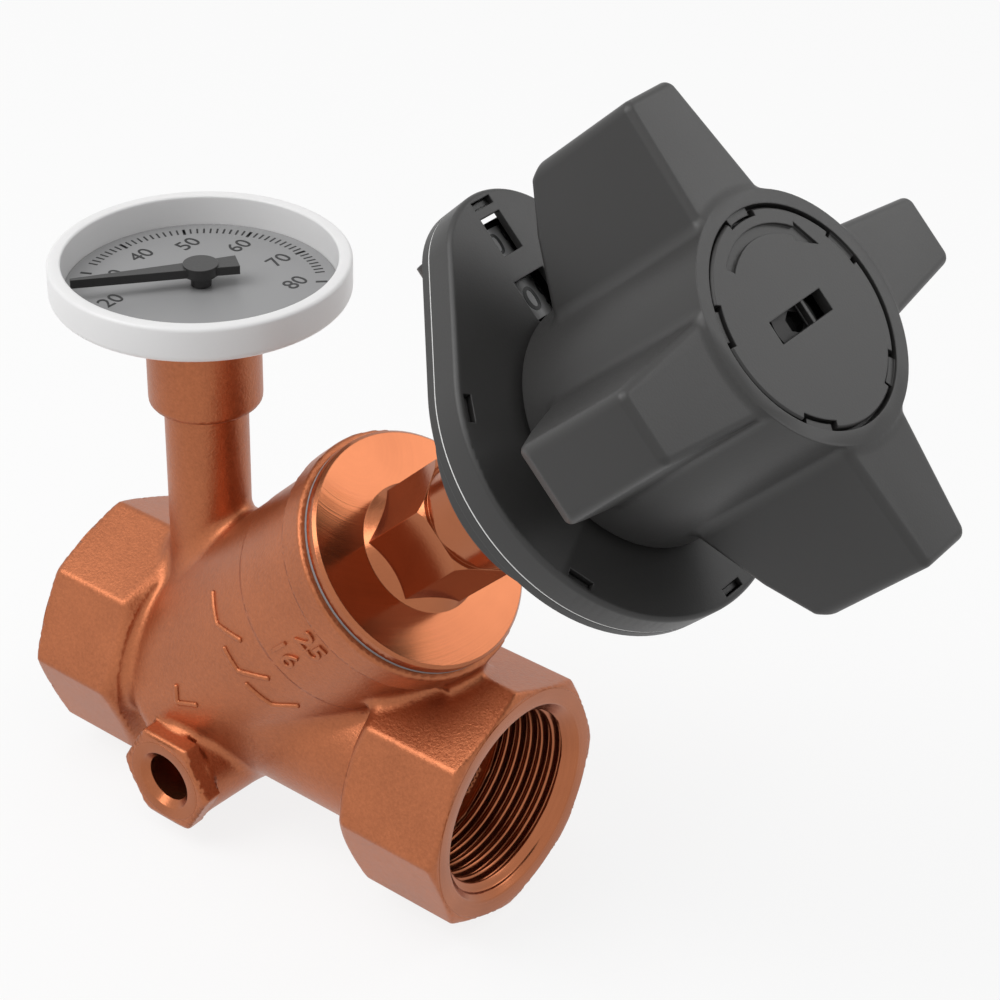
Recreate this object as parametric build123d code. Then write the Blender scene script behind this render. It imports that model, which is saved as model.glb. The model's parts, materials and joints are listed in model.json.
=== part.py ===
"""Inclined-seat regulating valve with handwheel, position indicator and dial thermometer.

A cast bronze body for Rp 1 pipe thread carries a bonnet at 45 degrees to the pipe. The
handwheel turns a spindle that lifts a regulating cone off its seat without rising itself.
A crown gear under the handwheel drives two number drums behind windows in the indicator
housing. A bimetal dial thermometer stands in a pocket on the inlet side, and a hexagonal
drain port opens low on the side of the body.

Units are millimetres and +Z is up. The origin is on the pipe axis where the wall of the
inlet thread starts, and +X is the direction of flow. Pieces on the inclined axis are drawn
in the HEAD plane: its Z is the height above the point where the two axes cross, and its X
points at the number windows.
"""
import os
from math import acos, cos, pi, radians, sin

from build123d import *

# Pipe ends
BODY_LENGTH = 90.0
FACE_TO_AXIS = 28.0
END_FLATS = 41.0
END_SIDES = 8
INLET_END_LENGTH = 18.6
OUTLET_END_LENGTH = 20.6
END_FACE_RADIUS = 20.7
END_CHAMFER = 0.9
END_SLOPE_LENGTH = 1.7
THREAD_RADIUS = 16.62
THREAD_LENGTH = 17.0
MOUTH_RADIUS = 17.55
PIPE_RADIUS = 15.35
PIPE_WALL = 2.75

# Inclined barrel
TILT = 45.0
BARREL_RADIUS = 20.0
BARREL_WALL = 3.6
BARREL_FOOT = -9.0
BARREL_FOOT_ROUND = 6.0
BAND_START = 35.8
BAND_STEP = 0.15
RIM_START = 51.2
RIM_RADIUS = 21.3
RIM_TOP = 56.4
RIM_CHAMFER = 0.7
BONNET_THREAD_RADIUS = 18.0
BONNET_THREAD_START = 44.0
NECK_ROUND = 2.0

# Seat
SEAT_FLOOR = 0.0
SEAT_THICKNESS = 4.0
SEAT_RADIUS = 10.5
SEAT_LIP_WIDTH = 1.5
SEAT_LIP_HEIGHT = 1.2

# Drain port
DRAIN_X = 5.0
DRAIN_Z = -9.7
DRAIN_FACE = 24.0
DRAIN_FLATS = 17.0
DRAIN_HEX_DEPTH = 3.3
DRAIN_BOSS_RADIUS = 8.6
DRAIN_ROOT_RADIUS = 9.2
DRAIN_ROOT = 5.0
DRAIN_BORE_RADIUS = 4.3
DRAIN_BORE_DEPTH = 12.0
DRAIN_MOUTH_RADIUS = 5.5
DRAIN_DRILL_RADIUS = 2.0

# Thermometer pocket
THERMO_X = -4.6
NECK_RADIUS = 7.1
COLLAR_RADIUS = 9.6
COLLAR_BASE = 52.0
COLLAR_TOP = 72.2
COLLAR_ROUND = 0.8
POCKET_RADIUS = 4.6
POCKET_FLOOR = 27.0

# Thermometer
CASE_RADIUS = 24.7
CASE_HEIGHT = 6.3
CASE_WALL = 2.3
CASE_FLOOR = 0.7
DIAL_THICKNESS = 0.3
DIAL_CLEARANCE = 0.1
PROBE_RADIUS = 4.4
PROBE_WALL = 0.5
PROBE_REACH = 45.0
PROBE_RING = 0.6
SHAFT_RADIUS = 0.5
SHAFT_CLEARANCE = 0.05
COIL_RADIUS = 3.6
COIL_PITCH = 3.2
COIL_TURNS = 7
COIL_STRIP = 0.35
COIL_WIDTH = 1.8
POINTER_TIP = 21.2
POINTER_TIP_HALF = 0.35
POINTER_HALF = 1.5
POINTER_TAIL = 6.1
POINTER_TAIL_HALF = 1.95
POINTER_RISE = 2.2
POINTER_THICKNESS = 1.5
POINTER_HUB_RADIUS = 2.9
POINTER_PIN_RADIUS = 1.7
POINTER_ANGLE = 234.0

# Bonnet
BONNET_FLANGE_RADIUS = 20.2
BONNET_FLANGE_HEIGHT = 2.1
GASKET_THICKNESS = 0.5
THREAD_FIT = 0.08
BONNET_HEX_FLATS = 18.2
BONNET_HEX_TOP = 74.0
NECK_TOP = 84.0
BONNET_NECK_RADIUS = 9.0
BONNET_COLLAR_RADIUS = 12.3
COLLAR_SEAT = 88.0
SPIGOT_RADIUS = 8.2
SPIGOT_TOP = 92.6
SKIRT_FOOT = 26.0
SKIRT_RADIUS = 13.4
SKIRT_FIT = 0.08

# Spindle
SPINDLE_RADIUS = 5.0
SPINDLE_FIT = 0.05
THREADED_RADIUS = 4.9
SPINDLE_FOOT = 24.5
SPINDLE_COLLAR_RADIUS = 7.5
SPINDLE_COLLAR_HEIGHT = 3.0
SPINDLE_COLLAR_TOP = 47.6
THRUST_WASHER = 1.0
CLIP_THICKNESS = 1.0
CLIP_DEPTH = 0.7
RING_SECTION = 0.5
RING_HEIGHTS = (53.0, 61.0)
BUSH_LENGTH = 12.6
BUSH_RADIUS = 6.6
SQUARE = 7.0
SQUARE_FIT = 0.06
SPINDLE_SHOULDER = 93.2
SPINDLE_TOP = 141.0

# Regulating cone
STROKE = 9.9
CONE_RADIUS = 13.4
CONE_DISC = 2.5
WASHER_THICKNESS = 2.75
WASHER_SPIGOT = 6.5
SEAL_GAP = 0.05
HUB_RADIUS = 9.0
HUB_TOP = 33.0
KEY_WIDTH = 3.0
KEY_HEIGHT = 1.6
KEY_FIT = 0.1
PLUG_RADIUS = 9.8
PLUG_FOOT = -5.0
PLUG_SCREW_RADIUS = 2.5
PLUG_SCREW_HEAD = 3.8

# Indicator housing
PLATE_FRONT = 111.5
PLATE_BACK = 104.7
PLATE_RADIUS = 29.7
PLATE_TIP_RADIUS = 13.5
PLATE_TIP_CENTRE = 26.1
PLATE_WALL = 1.2
PLATE_ROUND = 0.8
SEAM = 106.5
SEAL_THICKNESS = 0.3
SEAL_RECESS = 0.5
SLEEVE_HOLE = 9.2
HOUSING_FOOT_RADIUS = 13.5
HOUSING_HUB_RADIUS = 20.5
HOUSING_CONE_TOP = 93.0
BASE_FLOOR = 2.5
WINDOW_TENTHS = (18.9, 25.6, 6.9)
WINDOW_UNITS = (29.5, 35.8, 4.4)
HOOK_EDGE = 1.8
HOOK_SIZE = (1.3, 4.2)
HOOK_FIT = 0.2
HOOK_DEPTH = 0.9
LIGHT_SLOT = (35.5, 38.0, 17.0)

# Number drums
DRUM_AXIS = 103.5
DRUM_RADIUS = 6.0
DRUM_WALL = 1.1
TROUGH_RADIUS = 6.6
TROUGH_WALL = 0.9
SIDE_TROUGH_RADIUS = 5.8
AXLE_RADIUS = 0.8
AXLE_FIT = 0.05
AXLE_START = 12.4
AXLE_END = 35.3
LUG_START = 12.4
LUG_END = 15.2
LUG_FOOT = 101.5
LUG_WIDTH = 5.0
PINION_START = 15.9
PINION_END = 17.7
TENTHS_START = 19.3
TENTHS_END = 25.6
UNITS_START = 29.3
UNITS_END = 34.2
CROWN_TEETH = 36
DRUM_TEETH = 12
CROWN_RADIUS = 16.8
CROWN_OUTER = 18.0
CROWN_FACE = 2.4
CROWN_DISC = 1.5
FIRST_STAGE = (8, 20)
SECOND_STAGE = (8, 32)
TRANSFER_DISTANCE = 7.0
TRANSFER_START = 25.9
TRANSFER_END = 29.2
TRANSFER_AXLE_RADIUS = 0.6
GEAR_WIDTH = 1.2
TOOTH_SHARE = 0.38

# Handwheel
WHEEL_FOOT = 112.9
WHEEL_TOP = 149.7
WHEEL_FOOT_RADIUS = 19.4
WHEEL_TOP_RADIUS = 18.6
WHEEL_WALL = 2.4
WHEEL_WEB_TOP = 144.5
WHEEL_HUB_RADIUS = 7.5
WING_COUNT = 4
WING_REACH = 37.2
WING_ROOT_HALF = 7.6
WING_TIP_HALF = 5.4
WING_TIP_FRONT = 148.3
WING_TIP_BACK = 127.0
WING_ROOT_BACK = 118.8
WING_SWEEP = 4.0
WING_BELLY = 0.4
WING_FOOT = 112.0
WING_DRAFT = 1.2
WING_CORNER = 2.4
WING_WALL = 1.9
WING_DRAFT_SPREAD = 0.75
WING_EDGE = 1.2
WING_ROOT_ROUND = 3.0
SLEEVE_RADIUS = 8.5
SLEEVE_TOP = 117.8

# Handwheel cap and screw
CAP_RADIUS = 15.95
CAP_RECESS = 16.45
CAP_SKIRT = 14.95
CAP_THICKNESS = 1.8
CAP_CLIP = 1.8
CAP_NOTCHES = 5
CAP_NOTCH_RADIUS = 14.9
CAP_NOTCH_ANGLE = 22.0
CAP_SLOT = (12.6, 3.4)
CAP_SLOT_RIB = 0.6
ARROW_RADIUS = 12.8
ARROW_WIDTH = 1.5
ARROW_DEPTH = 0.5
ARROW_SPAN = (-38.0, 37.0)
ARROW_HEAD = 20.0
SCREW_RADIUS = 2.1
SCREW_HEAD_RADIUS = 4.4
SCREW_HEAD_HEIGHT = 2.2
SCREW_LENGTH = 13.0
SCREW_WASHER = 0.9

# Values worked out from the sizes above
MOUTH_CHAMFER = MOUTH_RADIUS - THREAD_RADIUS
INLET_FACE = -MOUTH_CHAMFER
OUTLET_FACE = INLET_FACE + BODY_LENGTH
AXIS_X = INLET_FACE + FACE_TO_AXIS
PASSAGE_RADIUS = PIPE_RADIUS - PIPE_WALL
CHAMBER_RADIUS = BARREL_RADIUS - BARREL_WALL
SEAT_TOP = SEAT_FLOOR + SEAT_THICKNESS
SEAL_HEIGHT = SEAT_TOP + SEAT_LIP_HEIGHT + SEAL_GAP
CONE_DISC_FOOT = SEAL_HEIGHT + WASHER_THICKNESS
CONE_DISC_TOP = CONE_DISC_FOOT + CONE_DISC
FLANGE_FOOT = RIM_TOP + GASKET_THICKNESS
FLANGE_TOP = FLANGE_FOOT + BONNET_FLANGE_HEIGHT
THRUST_TOP = SPINDLE_COLLAR_TOP + THRUST_WASHER
SPINDLE_COLLAR_FOOT = SPINDLE_COLLAR_TOP - SPINDLE_COLLAR_HEIGHT
CLIP_TOP = SPINDLE_COLLAR_FOOT - 0.1
CLIP_FOOT = CLIP_TOP - CLIP_THICKNESS
CONE_SPACE_TOP = HUB_TOP + STROKE + 0.3
SPINDLE_BORE = SPINDLE_RADIUS + SPINDLE_FIT
COLLAR_POCKET = SPINDLE_COLLAR_RADIUS + 0.1
CROWN_MODULE = 2 * CROWN_RADIUS / CROWN_TEETH
MESH_HEIGHT = DRUM_AXIS - CROWN_MODULE * DRUM_TEETH / 2
CROWN_TIP = MESH_HEIGHT + 0.8 * CROWN_MODULE
CROWN_ROOT = MESH_HEIGHT - 1.1 * CROWN_MODULE
FIRST_MODULE = 2 * TRANSFER_DISTANCE / sum(FIRST_STAGE)
SECOND_MODULE = 2 * TRANSFER_DISTANCE / sum(SECOND_STAGE)
TROUGH_END = AXLE_END - TROUGH_WALL
BASE_TOP = SEAM - SEAL_THICKNESS
BASE_FLOOR_TOP = COLLAR_SEAT + BASE_FLOOR
SKIRT_BORE = HUB_RADIUS + SKIRT_FIT
SOCKET = SQUARE + 2 * SQUARE_FIT
WHEEL_WEB_FOOT = SPINDLE_TOP + 0.1
BUSH_FOOT = SPIGOT_TOP - BUSH_LENGTH
CAP_FOOT = WHEEL_TOP - CAP_THICKNESS
WASHER_TOP = WHEEL_WEB_TOP + SCREW_WASHER
CASE_FOOT = COLLAR_TOP
CASE_TOP = CASE_FOOT + CASE_HEIGHT
DIAL_TOP = CASE_FOOT + CASE_FLOOR + DIAL_THICKNESS
POINTER_FOOT = DIAL_TOP + POINTER_RISE
POINTER_TOP = POINTER_FOOT + POINTER_THICKNESS
PROBE_FOOT = CASE_FOOT - PROBE_REACH
COIL_FOOT = PROBE_FOOT + PROBE_WALL + COIL_WIDTH / 2
COIL_TOP = COIL_FOOT + COIL_PITCH * COIL_TURNS + COIL_WIDTH / 2
THERMO_AXIS_X = AXIS_X + THERMO_X

BASE = (Align.CENTER, Align.CENTER, Align.MIN)
HEAD = Location(Plane(
    origin=(AXIS_X, 0, 0),
    x_dir=(-sin(radians(TILT)), 0, cos(radians(TILT))),
    z_dir=(cos(radians(TILT)), 0, sin(radians(TILT))),
))
STAND = Location((THERMO_AXIS_X, 0, 0))
DRUMS = Location(Plane(origin=(0, 0, DRUM_AXIS), x_dir=(0, 0, -1), z_dir=(1, 0, 0)))


def turned(*profile):
    """Solid of revolution about Z from (radius, height) corners."""
    return revolve(make_face(Polyline(*[(r, 0, h) for r, h in profile], close=True)), Axis.Z)


def rod(radius, foot, top):
    """Cylinder about Z between two heights."""
    return Pos(0, 0, foot) * Cylinder(radius, top - foot, align=BASE)


def ring(outer, inner, foot, top):
    """Round ring about Z between two heights."""
    return rod(outer, foot, top) - rod(inner, foot - 1, top + 1)


def along_x(shape):
    """Turns a shape drawn about Z so that it runs along X."""
    return Rotation(0, 90, 0) * shape


def prism(sketch, foot, top):
    """Raises a flat outline between two heights."""
    return Pos(0, 0, foot) * extrude(sketch, top - foot)


def gear_outline(count, module, bore, phase=0.0):
    """Flat gear with straight-sided teeth; one tooth points at the phase angle."""
    pitch_radius = module * count / 2
    tip = pitch_radius + 0.8 * module
    root = pitch_radius - 1.1 * module
    step = 2 * pi / count
    half_pitch = TOOTH_SHARE * step / 2
    half_tip = half_pitch * 0.5
    half_root = half_pitch * 1.5
    corners = []
    for index in range(count):
        middle = radians(phase) + index * step
        for radius, offset in ((root, -half_root), (tip, -half_tip), (tip, half_tip), (root, half_root)):
            corners.append((radius * cos(middle + offset), radius * sin(middle + offset)))
    return make_face(Polyline(*corners, close=True)) - Circle(bore)


def housing_outline(inset=0.0):
    """Round plate drawn out to a smaller round tip, moved in by the inset."""
    big = PLATE_RADIUS - inset
    small = PLATE_TIP_RADIUS - inset
    lean = acos((big - small) / PLATE_TIP_CENTRE)
    upper = (big * cos(lean), big * sin(lean))
    tip_upper = (PLATE_TIP_CENTRE + small * cos(lean), small * sin(lean))
    lower = (upper[0], -upper[1])
    tip_lower = (tip_upper[0], -tip_upper[1])
    edges = [
        ThreePointArc(upper, (-big, 0), lower),
        Line(lower, tip_lower),
        ThreePointArc(tip_lower, (PLATE_TIP_CENTRE + small, 0), tip_upper),
        Line(tip_upper, upper),
    ]
    return make_face(edges)


def pipe_end(face, inner):
    """Octagonal wrench end with a chamfered face and a sloped inner end."""
    way = 1 if inner > face else -1
    corner_radius = END_FLATS / 2 / cos(pi / END_SIDES)
    blank = Pos(min(face, inner), 0, 0) * along_x(
        extrude(RegularPolygon(corner_radius, END_SIDES), abs(inner - face)))
    reach = corner_radius + 0.4
    envelope = make_face(Polyline(
        (face, 0),
        (face, END_FACE_RADIUS),
        (face + way * END_CHAMFER, reach),
        (inner - way * END_SLOPE_LENGTH, reach),
        (inner, END_FLATS / 2 - 0.3),
        (inner, 0),
        close=True,
    ))
    return blank & revolve(envelope, Axis.X)


def drain_boss():
    """Round boss on the side of the body that ends in a wrench hexagon."""
    hexagon = prism(RegularPolygon(DRAIN_FLATS / 2, 6, major_radius=False), -DRAIN_HEX_DEPTH, 0)
    hexagon = hexagon & turned(
        (0, 0.0),
        (DRAIN_FLATS / 2 + 0.2, 0.0),
        (DRAIN_FLATS / 2 + 1.6, -0.8),
        (DRAIN_FLATS / 2 + 1.6, -DRAIN_HEX_DEPTH),
        (0, -DRAIN_HEX_DEPTH),
    )
    boss = turned(
        (0, -DRAIN_HEX_DEPTH),
        (DRAIN_BOSS_RADIUS, -DRAIN_HEX_DEPTH),
        (DRAIN_ROOT_RADIUS, DRAIN_ROOT - DRAIN_FACE + 4),
        (DRAIN_ROOT_RADIUS - 4, DRAIN_ROOT - DRAIN_FACE),
        (0, DRAIN_ROOT - DRAIN_FACE),
    )
    return drain_place() * (hexagon + boss)


def drain_place():
    """Plane of the drain port's face, with Z pointing out of it."""
    return Location(Plane(
        origin=(AXIS_X + DRAIN_X, -DRAIN_FACE, DRAIN_Z), x_dir=(-1, 0, 0), z_dir=(0, -1, 0)))


def barrel():
    """Inclined barrel with a rounded foot, a turned band and a wider rim."""
    blank = turned(
        (0, BARREL_FOOT),
        (BARREL_RADIUS - BAND_STEP, BARREL_FOOT),
        (BARREL_RADIUS - BAND_STEP, BAND_START),
        (BARREL_RADIUS, BAND_START),
        (BARREL_RADIUS, RIM_START - RIM_RADIUS + BARREL_RADIUS),
        (RIM_RADIUS, RIM_START),
        (RIM_RADIUS, RIM_TOP - RIM_CHAMFER),
        (RIM_RADIUS - RIM_CHAMFER, RIM_TOP),
        (0, RIM_TOP),
    )
    return HEAD * fillet(blank.edges().sort_by(Axis.Z)[0], BARREL_FOOT_ROUND)


def joined(first, second, radius):
    """Fuses two shapes and rounds the edges where their surfaces meet."""
    union = first + second
    known = first.edges() + second.edges()
    seams = [edge for edge in union.edges() if all(old.distance_to(edge @ 0.5) > 1e-3 for old in known)]
    return fillet(seams, radius)


def casting():
    """Outer form of the body, joined from its tubes, with a round at the root of the neck."""
    inlet_inner = INLET_FACE + INLET_END_LENGTH
    outlet_inner = OUTLET_FACE - OUTLET_END_LENGTH
    pipe = Pos(INLET_FACE + 2, 0, 0) * along_x(Cylinder(PIPE_RADIUS, BODY_LENGTH - 4, align=BASE))
    form = joined(pipe + barrel(), STAND * rod(NECK_RADIUS, 0, COLLAR_BASE + 1), NECK_ROUND)
    collar = rod(COLLAR_RADIUS, COLLAR_BASE, COLLAR_TOP)
    collar = fillet(collar.edges().filter_by(GeomType.CIRCLE), COLLAR_ROUND)
    form = form + drain_boss() + STAND * collar
    return form + pipe_end(INLET_FACE, inlet_inner) + pipe_end(OUTLET_FACE, outlet_inner)


def valve_body():
    """Cast body with its waterway and machined bores."""
    outer = casting()
    thread = rod(THREAD_RADIUS, 0, THREAD_LENGTH)
    mouth = Cone(THREAD_RADIUS, MOUTH_RADIUS, MOUTH_CHAMFER, align=BASE)
    tapped = mouth + Rotation(180, 0, 0) * thread
    inlet = Rotation(0, -90, 0) * tapped
    outlet = Pos(OUTLET_FACE - MOUTH_CHAMFER, 0, 0) * Rotation(0, 90, 0) * tapped
    passage = Pos(THREAD_LENGTH - 1, 0, 0) * along_x(
        Cylinder(PASSAGE_RADIUS, BODY_LENGTH - 2 * (THREAD_LENGTH + MOUTH_CHAMFER) + 2, align=BASE))
    partition = HEAD * (
        rod(BARREL_RADIUS + 6, SEAT_FLOOR, SEAT_TOP)
        + rod(SEAT_RADIUS + SEAT_LIP_WIDTH, SEAT_FLOOR, SEAT_TOP + SEAT_LIP_HEIGHT))
    chamber = HEAD * turned(
        (0, SEAT_TOP - 1),
        (CHAMBER_RADIUS, SEAT_TOP - 1),
        (CHAMBER_RADIUS, BONNET_THREAD_START),
        (BONNET_THREAD_RADIUS, BONNET_THREAD_START + 1),
        (BONNET_THREAD_RADIUS, RIM_TOP + 1),
        (0, RIM_TOP + 1),
    )
    waterway = (passage + chamber) - partition
    waterway = waterway + HEAD * rod(SEAT_RADIUS, SEAT_FLOOR - 1, SEAT_TOP + SEAT_LIP_HEIGHT + 1)
    drain = drain_place() * (
        rod(DRAIN_BORE_RADIUS, -DRAIN_BORE_DEPTH, 1)
        + turned((0, 0.5), (DRAIN_MOUTH_RADIUS + 0.5, 0.5),
                 (DRAIN_BORE_RADIUS, DRAIN_BORE_RADIUS - DRAIN_MOUTH_RADIUS),
                 (0, DRAIN_BORE_RADIUS - DRAIN_MOUTH_RADIUS))
        + rod(DRAIN_DRILL_RADIUS, -DRAIN_FACE + 3, -DRAIN_BORE_DEPTH + 1))
    pocket = STAND * (rod(POCKET_RADIUS, POCKET_FLOOR, COLLAR_TOP + 1)
                      + rod(PROBE_RADIUS + 2 * PROBE_RING, COLLAR_TOP - 2 * PROBE_RING, COLLAR_TOP + 1))
    return outer - waterway - inlet - outlet - drain - pocket


def bonnet():
    """Bonnet with a key-slotted skirt, sealing flange, wrench hexagon and indicator seat."""
    shell = turned(
        (SKIRT_BORE, SKIRT_FOOT),
        (SKIRT_RADIUS, SKIRT_FOOT),
        (SKIRT_RADIUS, BONNET_THREAD_START + 1.5),
        (BONNET_THREAD_RADIUS - THREAD_FIT, BONNET_THREAD_START + 2.5),
        (BONNET_THREAD_RADIUS - THREAD_FIT, FLANGE_FOOT),
        (BONNET_FLANGE_RADIUS, FLANGE_FOOT),
        (BONNET_FLANGE_RADIUS, FLANGE_TOP - 0.5),
        (BONNET_FLANGE_RADIUS - 0.5, FLANGE_TOP),
        (BONNET_HEX_FLATS / 2 + 1.9, FLANGE_TOP),
        (BONNET_HEX_FLATS / 2 - 0.1, FLANGE_TOP + 2),
        (BONNET_HEX_FLATS / 2 - 0.1, BONNET_HEX_TOP - 1),
        (BONNET_NECK_RADIUS, BONNET_HEX_TOP),
        (BONNET_NECK_RADIUS, NECK_TOP),
        (BONNET_COLLAR_RADIUS, NECK_TOP),
        (BONNET_COLLAR_RADIUS, COLLAR_SEAT),
        (SPIGOT_RADIUS, COLLAR_SEAT),
        (SPIGOT_RADIUS, BASE_FLOOR_TOP),
        (SPIGOT_RADIUS - CLIP_DEPTH, BASE_FLOOR_TOP),
        (SPIGOT_RADIUS - CLIP_DEPTH, BASE_FLOOR_TOP + CLIP_THICKNESS),
        (SPIGOT_RADIUS, BASE_FLOOR_TOP + CLIP_THICKNESS),
        (SPIGOT_RADIUS, SPIGOT_TOP),
        (BUSH_RADIUS, SPIGOT_TOP),
        (BUSH_RADIUS, BUSH_FOOT),
        (SPINDLE_BORE, BUSH_FOOT),
        (SPINDLE_BORE, THRUST_TOP),
        (COLLAR_POCKET, THRUST_TOP),
        (COLLAR_POCKET, CLIP_TOP),
        (COLLAR_POCKET + CLIP_DEPTH, CLIP_TOP),
        (COLLAR_POCKET + CLIP_DEPTH, CLIP_FOOT),
        (COLLAR_POCKET, CLIP_FOOT),
        (COLLAR_POCKET, CONE_SPACE_TOP),
        (SKIRT_BORE, CONE_SPACE_TOP),
    )
    hexagon = prism(RegularPolygon(BONNET_HEX_FLATS / 2, 6, major_radius=False), FLANGE_TOP, BONNET_HEX_TOP)
    corner = BONNET_HEX_FLATS / 2 / cos(pi / 6)
    hexagon = hexagon & turned(
        (0, FLANGE_TOP),
        (corner + 0.1, FLANGE_TOP),
        (corner + 0.1, BONNET_HEX_TOP - 1),
        (corner - 0.9, BONNET_HEX_TOP),
        (0, BONNET_HEX_TOP),
    )
    shell = shell + (hexagon - rod(BONNET_HEX_FLATS / 2 - 0.6, FLANGE_TOP - 1, BONNET_HEX_TOP + 1))
    slot = Pos(0, 0, SKIRT_FOOT - 1) * Box(
        2 * (HUB_RADIUS + KEY_HEIGHT + KEY_FIT),
        KEY_WIDTH + 2 * KEY_FIT,
        CONE_SPACE_TOP - SKIRT_FOOT + 1,
        align=BASE,
    )
    return HEAD * (shell - slot)


def bonnet_gasket():
    """Flat gasket under the bonnet flange."""
    return HEAD * ring(BONNET_FLANGE_RADIUS, BONNET_THREAD_RADIUS + 0.1, RIM_TOP, FLANGE_FOOT)


def spindle():
    """Non-rising spindle: threaded foot, thrust collar, sealing grooves and drive square."""
    shaft = rod(THREADED_RADIUS, SPINDLE_FOOT, SPINDLE_COLLAR_FOOT + 1)
    shaft = shaft + rod(SPINDLE_RADIUS, SPINDLE_COLLAR_FOOT, SPINDLE_SHOULDER)
    shaft = shaft + rod(SPINDLE_COLLAR_RADIUS, SPINDLE_COLLAR_FOOT, SPINDLE_COLLAR_TOP)
    square = Box(SQUARE, SQUARE, SPINDLE_TOP - SPINDLE_SHOULDER + 1, align=BASE)
    shaft = shaft + Pos(0, 0, SPINDLE_SHOULDER - 1) * square
    for height in RING_HEIGHTS:
        groove = ring(SPINDLE_RADIUS + 1, SPINDLE_RADIUS - 2 * RING_SECTION, height - RING_SECTION - 0.2,
                      height + RING_SECTION + 0.2)
        shaft = shaft - groove
    return HEAD * (shaft - rod(SCREW_RADIUS, SPINDLE_TOP - SCREW_LENGTH, SPINDLE_TOP + 1))


def spindle_ring(height):
    """Sealing ring in its spindle groove."""
    return HEAD * Pos(0, 0, height) * Torus(SPINDLE_RADIUS - RING_SECTION, RING_SECTION)


def spindle_bush():
    """Plain bush pressed into the top of the bonnet."""
    return HEAD * ring(BUSH_RADIUS, SPINDLE_BORE, BUSH_FOOT, SPIGOT_TOP)


def thrust_washer():
    """Washer between the spindle collar and the bonnet."""
    return HEAD * ring(SPINDLE_COLLAR_RADIUS, SPINDLE_BORE, SPINDLE_COLLAR_TOP, THRUST_TOP)


def spindle_clip():
    """Inside snap ring that carries the spindle collar in the bonnet."""
    band = ring(COLLAR_POCKET + CLIP_DEPTH, THREADED_RADIUS + 1.2, CLIP_FOOT, CLIP_TOP)
    gap = Box(2 * CLIP_DEPTH + 6, 4, CLIP_THICKNESS + 2, align=BASE)
    return HEAD * (band - Pos(COLLAR_POCKET, 0, CLIP_FOOT - 1) * gap)


def cone_carrier():
    """Threaded carrier that rises on the spindle, guided by two keys."""
    blank = turned(
        (0, SEAL_HEIGHT),
        (WASHER_SPIGOT, SEAL_HEIGHT),
        (WASHER_SPIGOT, CONE_DISC_FOOT),
        (CONE_RADIUS, CONE_DISC_FOOT),
        (CONE_RADIUS, CONE_DISC_TOP - 0.8),
        (CONE_RADIUS - 0.8, CONE_DISC_TOP),
        (HUB_RADIUS, CONE_DISC_TOP),
        (HUB_RADIUS, HUB_TOP),
        (0, HUB_TOP),
    )
    key_foot = SKIRT_FOOT - STROKE + 1
    keys = Pos(0, 0, key_foot) * Box(2 * (HUB_RADIUS + KEY_HEIGHT), KEY_WIDTH, HUB_TOP - key_foot, align=BASE)
    bore = rod(SPINDLE_RADIUS, SPINDLE_FOOT - STROKE - 2, HUB_TOP + 1)
    tapped = rod(PLUG_SCREW_RADIUS, SEAL_HEIGHT - 1, CONE_DISC_TOP - 0.5)
    return HEAD * (blank + keys - bore - tapped)


def seat_washer():
    """Soft washer that closes on the seat lip."""
    return HEAD * ring(CONE_RADIUS - 0.4, WASHER_SPIGOT, SEAL_HEIGHT, CONE_DISC_FOOT)


def regulating_plug():
    """Tapered plug that shapes the flow through the seat."""
    return HEAD * turned(
        (PLUG_SCREW_RADIUS, PLUG_FOOT),
        (PLUG_SCREW_HEAD + 1.4, PLUG_FOOT),
        (PLUG_RADIUS - 0.9, SEAT_FLOOR + 1),
        (PLUG_RADIUS, SEAT_TOP),
        (PLUG_RADIUS, SEAL_HEIGHT),
        (PLUG_SCREW_RADIUS, SEAL_HEIGHT),
    )


def plug_screw():
    """Screw that clamps the plug and the washer to the carrier."""
    head = rod(PLUG_SCREW_HEAD, PLUG_FOOT - 2.2, PLUG_FOOT)
    shank = rod(PLUG_SCREW_RADIUS, PLUG_FOOT - 1, CONE_DISC_TOP - 1.5)
    slot = Pos(0, 0, PLUG_FOOT - 2.2) * Box(2 * PLUG_SCREW_HEAD + 1, 1.0, 2.0)
    return HEAD * (head + shank - slot)


def hook_places():
    """Angle and radius of the six snap places around the housing."""
    around = [(angle, PLATE_RADIUS - HOOK_EDGE) for angle in range(60, 360, 60)]
    return [(0, PLATE_TIP_CENTRE + PLATE_TIP_RADIUS - HOOK_EDGE)] + around


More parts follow.
